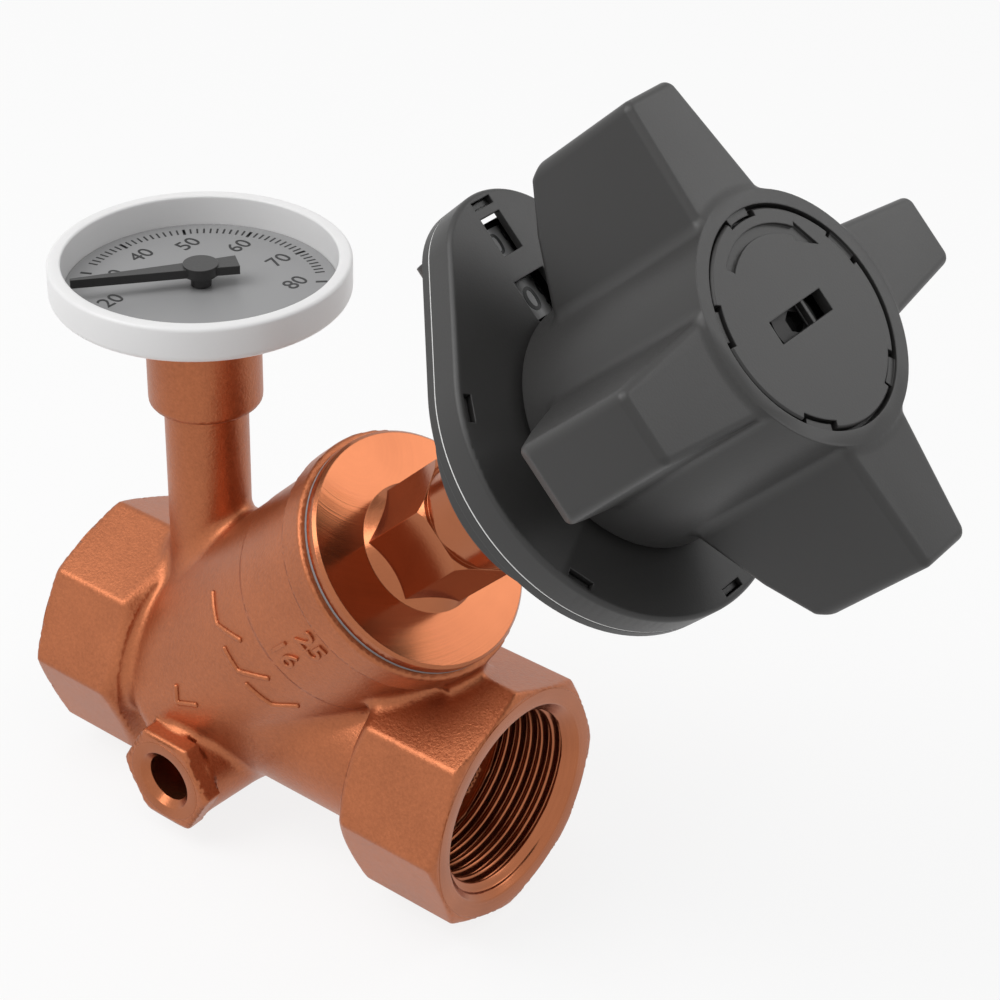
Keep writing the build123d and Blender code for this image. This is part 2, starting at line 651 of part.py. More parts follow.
def indicator_base():
    """Back half of the indicator housing with the troughs for drums and transfer gear."""
    outer = prism(housing_outline(), PLATE_BACK, BASE_TOP)
    outer = outer + turned(
        (0, COLLAR_SEAT),
        (HOUSING_FOOT_RADIUS, COLLAR_SEAT),
        (HOUSING_HUB_RADIUS, HOUSING_CONE_TOP),
        (HOUSING_HUB_RADIUS, PLATE_BACK + 0.5),
        (0, PLATE_BACK + 0.5),
    )
    half_space = Pos(0, 0, COLLAR_SEAT) * Box(200, 200, BASE_TOP - COLLAR_SEAT, align=BASE)
    drum_trough = DRUMS * rod(TROUGH_RADIUS + TROUGH_WALL, 10, TROUGH_END + TROUGH_WALL)
    side_trough = DRUMS * Pos(0, -TRANSFER_DISTANCE, 0) * rod(
        SIDE_TROUGH_RADIUS + TROUGH_WALL,
        TRANSFER_START - TROUGH_WALL - 0.4,
        TRANSFER_END + TROUGH_WALL + 0.4,
    )
    outer = outer + ((drum_trough + side_trough) & half_space)
    inside = turned(
        (0, BASE_FLOOR_TOP),
        (HOUSING_FOOT_RADIUS + 0.8, BASE_FLOOR_TOP),
        (HOUSING_HUB_RADIUS - PLATE_WALL, HOUSING_CONE_TOP + 1.2),
        (HOUSING_HUB_RADIUS - PLATE_WALL, PLATE_FRONT),
        (0, PLATE_FRONT),
    )
    inside = inside + rod(SPIGOT_RADIUS, COLLAR_SEAT - 1, BASE_FLOOR_TOP + 1)
    inside = inside + DRUMS * rod(TROUGH_RADIUS, 10, TROUGH_END)
    inside = inside + DRUMS * Pos(0, -TRANSFER_DISTANCE, 0) * rod(
        SIDE_TROUGH_RADIUS, TRANSFER_START - 0.4, TRANSFER_END + 0.4)
    inside = inside + DRUMS * rod(AXLE_RADIUS, AXLE_START, AXLE_END)
    inside = inside + DRUMS * Pos(0, -TRANSFER_DISTANCE, 0) * rod(
        TRANSFER_AXLE_RADIUS, TRANSFER_START - TROUGH_WALL, TRANSFER_END + TROUGH_WALL)
    start, end, length = LIGHT_SLOT
    light = Pos((start + end) / 2, 5 - length / 2, PLATE_BACK - 1) * Box(end - start, length, 6, align=BASE)
    base = outer - inside - light
    hook = Box(
        HOOK_SIZE[0] - 2 * HOOK_FIT,
        HOOK_SIZE[1] - 2 * HOOK_FIT,
        PLATE_FRONT - HOOK_DEPTH - PLATE_BACK - 0.5,
        align=BASE,
    )
    for angle, reach in hook_places():
        base = base + Rotation(0, 0, angle) * Pos(reach, 0, PLATE_BACK + 0.5) * hook
    return HEAD * base


def base_circlip():
    """Snap ring that holds the indicator housing on the bonnet."""
    inner = SPIGOT_RADIUS - CLIP_DEPTH
    band = ring(SPIGOT_RADIUS + 1.3, inner, BASE_FLOOR_TOP, BASE_FLOOR_TOP + CLIP_THICKNESS)
    gap = Pos(-SPIGOT_RADIUS, 0, BASE_FLOOR_TOP - 1) * Box(6, 3, CLIP_THICKNESS + 2, align=BASE)
    return HEAD * (band - gap)


def housing_seal():
    """Thin seal in the seam of the indicator housing."""
    band = prism(housing_outline(SEAL_RECESS) - housing_outline(PLATE_WALL), BASE_TOP, SEAM)
    return HEAD * band


def indicator_cover():
    """Front half of the indicator housing with the number windows."""
    shell = prism(housing_outline(), SEAM, PLATE_FRONT)
    shell = fillet(shell.faces().sort_by(Axis.Z)[-1].edges(), PLATE_ROUND)
    shell = shell - prism(housing_outline(PLATE_WALL), SEAM - 1, PLATE_FRONT - PLATE_WALL)
    lug = Pos((LUG_START + LUG_END) / 2, 0, LUG_FOOT) * Box(
        LUG_END - LUG_START, LUG_WIDTH, PLATE_FRONT - 0.5 - LUG_FOOT, align=BASE)
    shell = shell + lug - DRUMS * rod(AXLE_RADIUS, AXLE_START, AXLE_END)
    shell = shell - rod(SLEEVE_HOLE, SEAM - 9, PLATE_FRONT + 1)
    for start, end, width in (WINDOW_TENTHS, WINDOW_UNITS):
        window = Pos((start + end) / 2, 0, SEAM) * Box(end - start, width, 10, align=BASE)
        shell = shell - window
    snap = Box(HOOK_SIZE[0], HOOK_SIZE[1], 10, align=BASE)
    for angle, reach in hook_places():
        shell = shell - Rotation(0, 0, angle) * Pos(reach, 0, SEAM) * snap
    return HEAD * shell


def drive_sleeve():
    """Sleeve on the spindle square with the crown gear that drives the drums."""
    disc_foot = CROWN_ROOT - CROWN_DISC
    sleeve = rod(SLEEVE_RADIUS, SPINDLE_SHOULDER, SLEEVE_TOP) + rod(CROWN_OUTER, disc_foot, CROWN_ROOT)
    half = TOOTH_SHARE * pi * CROWN_MODULE / 2
    profile = make_face(Plane.YZ * Polyline(
        (-half * 1.5, CROWN_ROOT - 0.3),
        (-half * 0.5, CROWN_TIP),
        (half * 0.5, CROWN_TIP),
        (half * 1.5, CROWN_ROOT - 0.3),
        close=True,
    ))
    tooth = Pos(CROWN_OUTER - CROWN_FACE, 0, 0) * extrude(profile, CROWN_FACE - 0.2, dir=(1, 0, 0))
    sleeve = sleeve + [Rotation(0, 0, 360 * index / CROWN_TEETH) * tooth for index in range(CROWN_TEETH)]
    socket = Box(SOCKET, SOCKET, SLEEVE_TOP - SPINDLE_SHOULDER + 2, align=BASE)
    return HEAD * (sleeve - Pos(0, 0, SPINDLE_SHOULDER - 1) * socket)


def tenths_drum():
    """First number drum with its crown pinion and its output gear."""
    bore = AXLE_RADIUS + AXLE_FIT
    pinion = prism(gear_outline(DRUM_TEETH, CROWN_MODULE, bore, 180 / DRUM_TEETH), PINION_START, PINION_END)
    drum = ring(DRUM_RADIUS, bore, TENTHS_START, TENTHS_END)
    drum = drum - ring(DRUM_RADIUS - DRUM_WALL, 2.6, TENTHS_START + 1, TENTHS_END + 1)
    neck = ring(3.4, bore, PINION_END - 0.5, TENTHS_START + 0.5)
    small = gear_outline(FIRST_STAGE[0], FIRST_MODULE, bore, -90)
    output = prism(small, TENTHS_START + 0.5, TRANSFER_START + GEAR_WIDTH)
    hub = ring(2.6, bore, TENTHS_START + 0.5, TENTHS_END)
    return HEAD * DRUMS * (drum + pinion + neck + hub + output)


def units_drum():
    """Second number drum with its input gear."""
    bore = AXLE_RADIUS + AXLE_FIT
    phase = -90 + 180 / SECOND_STAGE[1]
    large = gear_outline(SECOND_STAGE[1], SECOND_MODULE, bore, phase)
    gear = prism(large, UNITS_START - 1.3, UNITS_START + 0.2)
    drum = ring(DRUM_RADIUS, bore, UNITS_START, UNITS_END)
    drum = drum - ring(DRUM_RADIUS - DRUM_WALL, 2.2, UNITS_START + 1.5, UNITS_END + 1)
    return HEAD * DRUMS * (drum + gear)


def drum_axle():
    """Pin that both number drums turn on."""
    return HEAD * DRUMS * rod(AXLE_RADIUS, AXLE_START, AXLE_END)


def transfer_gear():
    """Double gear that slows the second drum to a tenth of the first."""
    bore = TRANSFER_AXLE_RADIUS + AXLE_FIT
    large = gear_outline(FIRST_STAGE[1], FIRST_MODULE, bore, 90 + 180 / FIRST_STAGE[1])
    small = gear_outline(SECOND_STAGE[0], SECOND_MODULE, bore, 90)
    gears = prism(large, TRANSFER_START, TRANSFER_START + GEAR_WIDTH)
    gears = gears + prism(small, TRANSFER_START + 1, TRANSFER_END)
    return HEAD * DRUMS * Pos(0, -TRANSFER_DISTANCE, 0) * gears


def transfer_axle():
    """Pin of the double gear."""
    return HEAD * DRUMS * Pos(0, -TRANSFER_DISTANCE, 0) * rod(
        TRANSFER_AXLE_RADIUS, TRANSFER_START - TROUGH_WALL, TRANSFER_END + TROUGH_WALL)


def wing_outline(inset=0.0):
    """Plan of one wing with rounded tip corners."""
    root = 12.0
    slope = (WING_ROOT_HALF - WING_TIP_HALF) / (WING_REACH - 17.3)
    spread = WING_DRAFT_SPREAD - inset
    tip = WING_REACH - inset
    tip_half = WING_TIP_HALF + slope * inset + spread
    root_half = WING_TIP_HALF + slope * (WING_REACH - root) + spread
    plan = make_face(Polyline(
        (root, -root_half), (tip, -tip_half), (tip, tip_half), (root, root_half), close=True))
    corners = plan.vertices().sort_by(Axis.X)[-2:]
    return fillet(corners, max(WING_CORNER - inset, 0.6))


def wing():
    """Solid grip wing with rounded edges, before it is joined to the bell."""
    blank = Pos(0, 0, WING_FOOT) * extrude(wing_outline(), WHEEL_TOP - WING_FOOT + 1, taper=WING_DRAFT)
    side = make_face(Plane.XZ * Polyline(
        (10, WING_ROOT_BACK - WING_SWEEP),
        (WHEEL_FOOT_RADIUS, WING_ROOT_BACK),
        ((WHEEL_FOOT_RADIUS + WING_REACH) / 2 + WING_BELLY, WING_ROOT_BACK + WING_SWEEP),
        (WING_REACH - 1.6, WING_TIP_BACK),
        (WING_REACH, WING_TIP_BACK + 3),
        (WING_REACH, WING_TIP_FRONT),
        (10, WHEEL_TOP - 0.1),
        close=True,
    ))
    solid = blank & extrude(side, 30, both=True)
    outside = [edge for edge in solid.edges() if edge.center().X > 18]
    return fillet(outside, WING_EDGE)


def handwheel():
    """Winged handwheel: bell, web, hub with a square socket and the recess for the cap."""
    bell = turned(
        (0, WHEEL_FOOT),
        (WHEEL_FOOT_RADIUS, WHEEL_FOOT),
        (WHEEL_TOP_RADIUS, WHEEL_TOP),
        (0, WHEEL_TOP),
    )
    grip = wing()
    wheel = bell + [Rotation(0, 0, 360 * index / WING_COUNT) * grip for index in range(WING_COUNT)]
    wheel = fillet(wheel.edges().filter_by(GeomType.HYPERBOLA), WING_ROOT_ROUND)
    cavity = turned(
        (0, WHEEL_FOOT - 1),
        (WHEEL_FOOT_RADIUS - WHEEL_WALL, WHEEL_FOOT - 1),
        (WHEEL_TOP_RADIUS - WHEEL_WALL, WHEEL_WEB_FOOT),
        (0, WHEEL_WEB_FOOT),
    )
    clip = extrude(sector(CAP_RECESS + 1, CAP_NOTCH_ANGLE - 6), CAP_CLIP) - rod(CAP_NOTCH_RADIUS + 0.4, -1, 5)
    clips = [Rotation(0, 0, 360 * index / CAP_NOTCHES) * Pos(0, 0, CAP_FOOT - 0.5) * clip
             for index in range(CAP_NOTCHES)]
    recess = rod(CAP_RECESS, CAP_FOOT, WHEEL_TOP + 1) - clips + rod(CAP_SKIRT, WHEEL_WEB_TOP, WHEEL_TOP + 1)
    core = Pos(0, 0, WING_FOOT - 2) * extrude(wing_outline(WING_WALL), WING_TIP_FRONT - 2 - WING_FOOT + 2)
    core = core - rod(WHEEL_FOOT_RADIUS + 0.6, WING_FOOT - 3, WHEEL_TOP)
    cores = [Rotation(0, 0, 360 * index / WING_COUNT) * core for index in range(WING_COUNT)]
    wheel = wheel - cavity - recess - cores
    wheel = wheel + rod(WHEEL_HUB_RADIUS, SLEEVE_TOP, WHEEL_WEB_FOOT + 1)
    socket = Pos(0, 0, SLEEVE_TOP - 1) * Box(SOCKET, SOCKET, SPINDLE_TOP + 0.1 - SLEEVE_TOP + 1, align=BASE)
    return HEAD * (wheel - socket - rod(SCREW_RADIUS + 0.5, SPINDLE_TOP - 1, WHEEL_TOP))


def sector(radius, angle):
    """Flat wedge about the X axis."""
    half = radians(angle / 2)
    arc = ThreePointArc(
        (radius * cos(half), -radius * sin(half)), (radius, 0), (radius * cos(half), radius * sin(half)))
    return make_face([Line((0, 0), arc @ 0), arc, Line(arc @ 1, (0, 0))])


def arrow():
    """Flat curved arrow that shows the closing direction."""
    inner = ARROW_RADIUS - ARROW_WIDTH / 2
    outer = ARROW_RADIUS + ARROW_WIDTH / 2
    start, end = ARROW_SPAN
    middle = (start + end) / 2

    def at(radius, angle):
        return (radius * cos(radians(angle)), radius * sin(radians(angle)))

    edges = [
        ThreePointArc(at(inner, start), at(inner, middle), at(inner, end)),
        Line(at(inner, end), at(outer, end)),
        ThreePointArc(at(outer, end), at(outer, middle), at(outer, start)),
        Line(at(outer, start), at(outer + ARROW_WIDTH / 2, start)),
        Line(at(outer + ARROW_WIDTH / 2, start), at(ARROW_RADIUS, start - ARROW_HEAD)),
        Line(at(ARROW_RADIUS, start - ARROW_HEAD), at(inner - ARROW_WIDTH / 2, start)),
        Line(at(inner - ARROW_WIDTH / 2, start), at(inner, start)),
    ]
    return make_face(edges)


def handwheel_cap():
    """Clip-in cap with a slot and the direction arrow."""
    cap = rod(CAP_RADIUS, CAP_FOOT, WHEEL_TOP - 0.1)
    cap = cap + ring(CAP_SKIRT, CAP_SKIRT - 1.2, CAP_FOOT - 2.0, CAP_FOOT + 0.5)
    cap = chamfer(cap.faces().sort_by(Axis.Z)[-1].edges(), 0.3)
    notch = Pos(0, 0, CAP_FOOT - 0.01) * (
        extrude(sector(CAP_RECESS + 1, CAP_NOTCH_ANGLE), 5) - rod(CAP_NOTCH_RADIUS, -1, 6))
    cap = cap - [Rotation(0, 0, 360 * index / CAP_NOTCHES) * notch for index in range(CAP_NOTCHES)]
    length, width = CAP_SLOT
    slot = Pos(0.2, 0.6, CAP_FOOT - 1) * Box(width, length, 5, align=BASE)
    rib = Pos(0.2, -2.0, CAP_FOOT) * Box(width + 1, CAP_SLOT_RIB, CAP_THICKNESS - 0.8, align=BASE)
    cap = cap - slot + rib
    return HEAD * (cap - prism(arrow(), WHEEL_TOP - 0.1 - ARROW_DEPTH, WHEEL_TOP + 1))


def handwheel_screw():
    """Hexagon socket screw that holds the handwheel on the spindle."""
    head = rod(SCREW_HEAD_RADIUS, WASHER_TOP, WASHER_TOP + SCREW_HEAD_HEIGHT)
    shank = rod(SCREW_RADIUS, SPINDLE_TOP - SCREW_LENGTH + 1, WASHER_TOP + 1)
    hexagon = RegularPolygon(1.5, 6, major_radius=False)
    socket = prism(hexagon, WASHER_TOP + 0.8, WASHER_TOP + SCREW_HEAD_HEIGHT + 1)
    return HEAD * (head + shank - socket)


def screw_washer():
    """Washer under the handwheel screw."""
    return HEAD * ring(SCREW_HEAD_RADIUS + 1, SCREW_RADIUS + 0.2, WHEEL_WEB_TOP, WASHER_TOP)


def thermometer_case():
    """Cup of the dial thermometer, open at the front."""
    case = rod(CASE_RADIUS, CASE_FOOT, CASE_TOP)
    case = fillet(case.edges().filter_by(GeomType.CIRCLE), 0.5)
    case = case - rod(CASE_RADIUS - CASE_WALL, CASE_FOOT + CASE_FLOOR, CASE_TOP + 1)
    case = chamfer(case.edges().filter_by(GeomType.CIRCLE).sort_by(Axis.Z)[-1], 0.3)
    return STAND * (case - rod(PROBE_RADIUS, CASE_FOOT - 1, CASE_TOP))


def dial_plate():
    """Dial plate that carries the temperature scale."""
    return STAND * ring(CASE_RADIUS - CASE_WALL - DIAL_CLEARANCE, SHAFT_RADIUS + SHAFT_CLEARANCE,
                        CASE_FOOT + CASE_FLOOR, DIAL_TOP)


def pointer():
    """Tapered pointer with a broad tail and a hub that stands on a pin above the dial."""
    blade = make_face(Polyline(
        (POINTER_TIP, -POINTER_TIP_HALF),
        (POINTER_TIP, POINTER_TIP_HALF),
        (0, POINTER_HALF),
        (-POINTER_TAIL, POINTER_TAIL_HALF),
        (-POINTER_TAIL, -POINTER_TAIL_HALF),
        (0, -POINTER_HALF),
        close=True,
    ))
    needle = prism(blade, POINTER_FOOT, POINTER_TOP)
    needle = needle + rod(POINTER_HUB_RADIUS, POINTER_FOOT, POINTER_TOP + 0.3)
    needle = needle + rod(POINTER_PIN_RADIUS, DIAL_TOP + 0.2, POINTER_FOOT + 0.5)
    needle = needle - rod(SHAFT_RADIUS, DIAL_TOP, POINTER_TOP - 0.1)
    return STAND * Rotation(0, 0, POINTER_ANGLE) * needle


def pointer_shaft():
    """Shaft from the coil to the pointer."""
    disc = rod(COIL_RADIUS - 0.6, COIL_TOP + 0.05, COIL_TOP + 0.65)
    return STAND * (disc + rod(SHAFT_RADIUS, COIL_TOP + 0.05, POINTER_TOP - 0.1))


def bimetal_coil():
    """Helical bimetal strip that turns the pointer shaft."""
    path = Helix(COIL_PITCH, COIL_PITCH * COIL_TURNS, COIL_RADIUS)
    section = Plane(origin=path @ 0, z_dir=path % 0, x_dir=(1, 0, 0)) * Rectangle(COIL_STRIP, COIL_WIDTH)
    strip = sweep(section, path=path, is_frenet=True)
    return STAND * Pos(0, 0, COIL_FOOT) * strip


def probe_tube():
    """Closed tube that reaches into the pocket of the body."""
    tube = rod(PROBE_RADIUS, PROBE_FOOT, CASE_FOOT + CASE_FLOOR)
    hollow = rod(PROBE_RADIUS - PROBE_WALL, PROBE_FOOT + PROBE_WALL, CASE_FOOT + CASE_FLOOR + 1)
    return STAND * (tube - hollow)


def probe_ring():
    """Sealing ring at the mouth of the pocket."""
    return STAND * Pos(0, 0, COLLAR_TOP - PROBE_RING) * Torus(PROBE_RADIUS + PROBE_RING, PROBE_RING)


NODES = {
    "valve_body": valve_body,
    "bonnet": bonnet,
    "bonnet_gasket": bonnet_gasket,
    "spindle": spindle,
    "spindle_bush": spindle_bush,
    "thrust_washer": thrust_washer,
    "spindle_clip": spindle_clip,
    "cone_carrier": cone_carrier,
    "seat_washer": seat_washer,
    "regulating_plug": regulating_plug,
    "plug_screw": plug_screw,
    "indicator_base": indicator_base,
    "base_circlip": base_circlip,
    "housing_seal": housing_seal,
    "indicator_cover": indicator_cover,
    "drive_sleeve": drive_sleeve,
    "tenths_drum": tenths_drum,
    "units_drum": units_drum,
    "drum_axle": drum_axle,
    "transfer_gear": transfer_gear,
    "transfer_axle": transfer_axle,
    "handwheel": handwheel,
    "handwheel_cap": handwheel_cap,
    "handwheel_screw": handwheel_screw,
    "screw_washer": screw_washer,
    "thermometer_case": thermometer_case,
    "dial_plate": dial_plate,
    "pointer": pointer,
    "pointer_shaft": pointer_shaft,
    "bimetal_coil": bimetal_coil,
    "probe_tube": probe_tube,
    "probe_ring": probe_ring,
}


def main():
    """Builds every piece and writes it to its own file."""
    os.makedirs("parts", exist_ok=True)
    for name, build in NODES.items():
        export_step(build(), f"parts/{name}.step")
    for number, height in enumerate(RING_HEIGHTS, start=1):
        export_step(spindle_ring(height), f"parts/spindle_ring_{number}.step")


if __name__ == "__main__":
    main()
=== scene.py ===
"""Dresses the regulating valve: cast bronze body, turned bonnet, moulded handwheel and dial.

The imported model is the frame. Sizes in the classes are in millimetres in the axes of the
sub-assembly they belong to, and turn into metres when a piece is placed.
"""
import json
import logging
from dataclasses import dataclass
from enum import Enum
from math import cos, hypot, pi, radians, sin
from typing import Any, Sequence, Union

import bmesh
import bpy
import numpy as np
from mathutils import Matrix, Vector


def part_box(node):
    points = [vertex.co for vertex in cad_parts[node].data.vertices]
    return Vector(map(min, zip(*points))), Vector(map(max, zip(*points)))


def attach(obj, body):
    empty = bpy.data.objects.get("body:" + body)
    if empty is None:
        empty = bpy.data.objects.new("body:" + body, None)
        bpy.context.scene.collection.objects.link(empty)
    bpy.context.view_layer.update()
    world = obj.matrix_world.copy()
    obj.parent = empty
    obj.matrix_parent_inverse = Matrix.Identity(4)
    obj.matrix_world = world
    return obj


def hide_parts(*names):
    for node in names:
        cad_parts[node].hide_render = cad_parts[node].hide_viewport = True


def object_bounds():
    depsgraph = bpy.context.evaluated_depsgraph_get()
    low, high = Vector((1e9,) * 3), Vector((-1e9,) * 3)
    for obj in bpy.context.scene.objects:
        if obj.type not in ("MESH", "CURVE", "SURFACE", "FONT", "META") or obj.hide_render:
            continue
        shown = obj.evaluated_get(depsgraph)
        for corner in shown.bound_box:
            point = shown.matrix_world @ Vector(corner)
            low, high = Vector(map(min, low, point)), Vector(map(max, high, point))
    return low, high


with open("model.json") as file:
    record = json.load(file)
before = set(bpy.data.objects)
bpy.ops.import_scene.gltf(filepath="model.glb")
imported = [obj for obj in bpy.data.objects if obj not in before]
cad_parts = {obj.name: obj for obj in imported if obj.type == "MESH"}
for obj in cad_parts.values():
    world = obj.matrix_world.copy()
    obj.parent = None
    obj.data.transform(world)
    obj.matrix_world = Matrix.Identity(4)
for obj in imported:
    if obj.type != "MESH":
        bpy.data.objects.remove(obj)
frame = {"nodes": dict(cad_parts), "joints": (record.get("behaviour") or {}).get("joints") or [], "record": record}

LOG = logging.getLogger("valve")
CAD_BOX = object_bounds()
MM = 0.001


@dataclass(frozen=True)
class Axes:
    """Right-handed axes in which a sub-assembly is worked out, in metres of the frame."""

    origin: np.ndarray
    x: np.ndarray
    y: np.ndarray
    z: np.ndarray

    @classmethod
    def of(cls, origin: Sequence[float], z: Sequence[float], x: Sequence[float]) -> "Axes":
        """Makes axes from an origin, the direction of Z and the direction of X.

        Args:
            origin: Place of the origin in metres.
            z: Direction of Z.
            x: Direction of X, square to Z.

        Returns:
            The axes, with Y = Z x X.
        """
        up = np.array(z, float) / np.linalg.norm(z)
        side = np.array(x, float) / np.linalg.norm(x)
        return cls(np.array(origin, float), side, np.cross(up, side), up)

    def place(self, points: np.ndarray) -> np.ndarray:
        """Turns millimetres in these axes into metres in the frame: origin + 0.001 (x X + y Y + z Z)."""
        x, y, z = points[..., :1], points[..., 1:2], points[..., 2:3]
        return self.origin + MM * (x * self.x + y * self.y + z * self.z)


def joint(name: str) -> dict[str, Any]:
    """Returns the frame's joint of that name."""
    return next(item for item in frame["joints"] if item["name"] == name)


# The pipe, the inclined head with Z along the spindle and X towards the number windows, the number
# drums with Z along their pin and X away from the windows, and the dial, upright at the pipe's height.
WHEEL_TURN, DRUM_TURN, NEEDLE_TURN = map(joint, ("handwheel_turn", "tenths_turn", "pointer_turn"))
LINE = WHEEL_TURN["axis"]
PIPE = Axes.of((0, 0, 0), (0, 0, 1), (1, 0, 0))
HEAD = Axes.of(WHEEL_TURN["pos_m"], LINE, (-LINE[2], 0.0, LINE[0]))
DRUMS = Axes.of(DRUM_TURN["pos_m"], DRUM_TURN["axis"], [-value for value in LINE])
DIAL = Axes.of((*NEEDLE_TURN["pos_m"][:2], 0.0), (0, 0, 1), (1, 0, 0))


def grid_quads(rows: int, columns: int, close_rows: bool = False, close_columns: bool = False) -> np.ndarray:
    """Corner numbers of the faces of a grid whose point (i, j) has the number i * columns + j.

    Args:
        rows: Points along the first parameter.
        columns: Points along the second parameter.
        close_rows: Joins the last row to the first.
        close_columns: Joins the last column to the first.

    Returns:
        Array of four corners for each face.
    """
    i = np.arange(rows if close_rows else rows - 1)[:, None]
    j = np.arange(columns if close_columns else columns - 1)[None, :]
    below, beside = (i + 1) % rows, (j + 1) % columns
    corners = (i * columns + j, i * columns + beside, below * columns + beside, below * columns + j)
    return np.stack(corners, axis=-1).reshape(-1, 4)


def arc(centre: tuple[float, float], radius: float, start: float, end: float, count: int = 7) -> np.ndarray:
    """Points centre + radius (cos a, sin a) on an arc, for a from start to end in degrees."""
    angle = np.radians(np.linspace(start, end, count))
    return np.stack([centre[0] + radius * np.cos(angle), centre[1] + radius * np.sin(angle)], axis=-1)


class Link:
    """A node's output that takes part in sums: each operator adds the Math node it stands for."""

    def __init__(self, net: "Net", socket: bpy.types.NodeSocket) -> None:
        """Keeps the net and the output socket."""
        self.net = net
        self.socket = socket

    def _math(self, operation: str, first: "Value", second: "Value") -> "Link":
        """Adds a Math node on two values."""
        return self.net.node("ShaderNodeMath", {"operation": operation}, {0: first, 1: second})

    def __add__(self, other: "Value") -> "Link":
        """self + other."""
        return self._math("ADD", self, other)

    __radd__ = __add__

    def __sub__(self, other: "Value") -> "Link":
        """self - other."""
        return self._math("SUBTRACT", self, other)

    def __rsub__(self, other: "Value") -> "Link":
        """other - self."""
        return self._math("SUBTRACT", other, self)

    def __mul__(self, other: "Value") -> "Link":
        """self * other."""
        return self._math("MULTIPLY", self, other)

    def __rmul__(self, other: "Value") -> "Link":
        """other * self."""
        return self._math("MULTIPLY", other, self)

    def __pow__(self, other: "Value") -> "Link":
        """self to the power of other."""
        return self._math("POWER", self, other)


Value = Union[Link, float, int]
Colour = tuple[float, float, float]


class Net:
    """The node net of one material, or of another block that has a node tree."""

    def __init__(self, name: str, owner: bpy.types.ID | None = None) -> None:
        """Starts an empty net in its owner, or in a new material of that name.

        Args:
            name: Name of the material to make.
            owner: Block with a node tree of its own that is used instead, such as a world.
        """
        self.material = owner or bpy.data.materials.new(name)
        self.material.use_nodes = True
        self.tree = self.material.node_tree
        self.tree.nodes.clear()

    def node(self, kind: str, settings: dict[str, Any] | None = None, values: dict[Any, Any] | None = None,
             output: int | str = 0) -> Link:
        """Adds a node, sets it up and feeds its inputs.

        Args:
            kind: Type of the node.
            settings: Properties of the node.
            values: Numbers, colours or links for the inputs, by name or number.
            output: Name or number of the output to return.

        Returns:
            The link of that output.
        """
        added = self.tree.nodes.new(kind)
        for key, value in (settings or {}).items():
            setattr(added, key, value)
        for key, value in (values or {}).items():
            if isinstance(value, Link):
                self.tree.links.new(value.socket, added.inputs[key])
            else:
                added.inputs[key].default_value = value
        return Link(self, added.outputs[output]) if added.outputs else Link(self, added.inputs[0])

    def place(self, turn: Sequence[float] = (0, 0, 0), stretch: Sequence[float] = (1, 1, 1)) -> Link:
        """Object coordinates, turned and stretched by a Mapping node.

        Args:
            turn: Rotation about X, Y and Z in radians.
            stretch: Scale along X, Y and Z.

        Returns:
            The link of the place.
        """
        spot = self.node("ShaderNodeTexCoord", output="Object")
        values = {"Vector": spot, "Rotation": tuple(turn), "Scale": tuple(stretch)}
        return self.node("ShaderNodeMapping", {"vector_type": "POINT"}, values)

    def noise(self, spot: Link, scale: float, detail: float = 3.0, rough: float = 0.55) -> Link:
        """Noise between 0 and 1 at a place, with scale counted per metre."""
        values = {"Vector": spot, "Scale": scale, "Detail": detail, "Roughness": rough}
        return self.node("ShaderNodeTexNoise", {"noise_dimensions": "3D"}, values)

    def blend(self, factor: Value, first: Colour | Link, second: Colour | Link) -> Link:
        """Mixes two colours."""
        pair = [value if isinstance(value, Link) else (*value, 1.0) for value in (first, second)]
        return self.node("ShaderNodeMix", {"data_type": "RGBA"}, {0: factor, 6: pair[0], 7: pair[1]}, 2)

    def rounded(self, radius: float) -> Link:
        """Normal that is smoothed across edges within a radius in millimetres."""
        return self.node("ShaderNodeBevel", {"samples": 6}, {"Radius": radius * MM})

    def bump(self, height: Link, depth: float, strength: float, under: Link | None = None) -> Link:
        """Normal bent by a height, whose full range is a depth in millimetres.

        Args:
            height: Height between 0 and 1.
            depth: Depth of its full range in millimetres.
            strength: Share of the bend that is kept.
            under: Normal that is bent.

        Returns:
            The link of the bent normal.
        """
        values = {"Height": height, "Distance": depth * MM, "Strength": strength}
        if under is not None:
            values["Normal"] = under
        return self.node("ShaderNodeBump", {}, values)

    def finish(self, **values: Any) -> bpy.types.Material:
        """Adds the surface shader and the output.

        Args:
            values: Values or links by socket name, with spaces written as underscores.

        Returns:
            The finished material.
        """
        named = {key.replace("_", " "): value for key, value in values.items()}
        shader = self.node("ShaderNodeBsdfPrincipled", {}, named)
        self.node("ShaderNodeOutputMaterial", {}, {"Surface": shader})
        return self.material


class Turning(Enum):
    """Direction of the axis that a turned surface was cut about, as a rotation that makes it Z."""

    HEAD = (0.0, -pi / 4, 0.0)
    PIPE = (0.0, -pi / 2, 0.0)


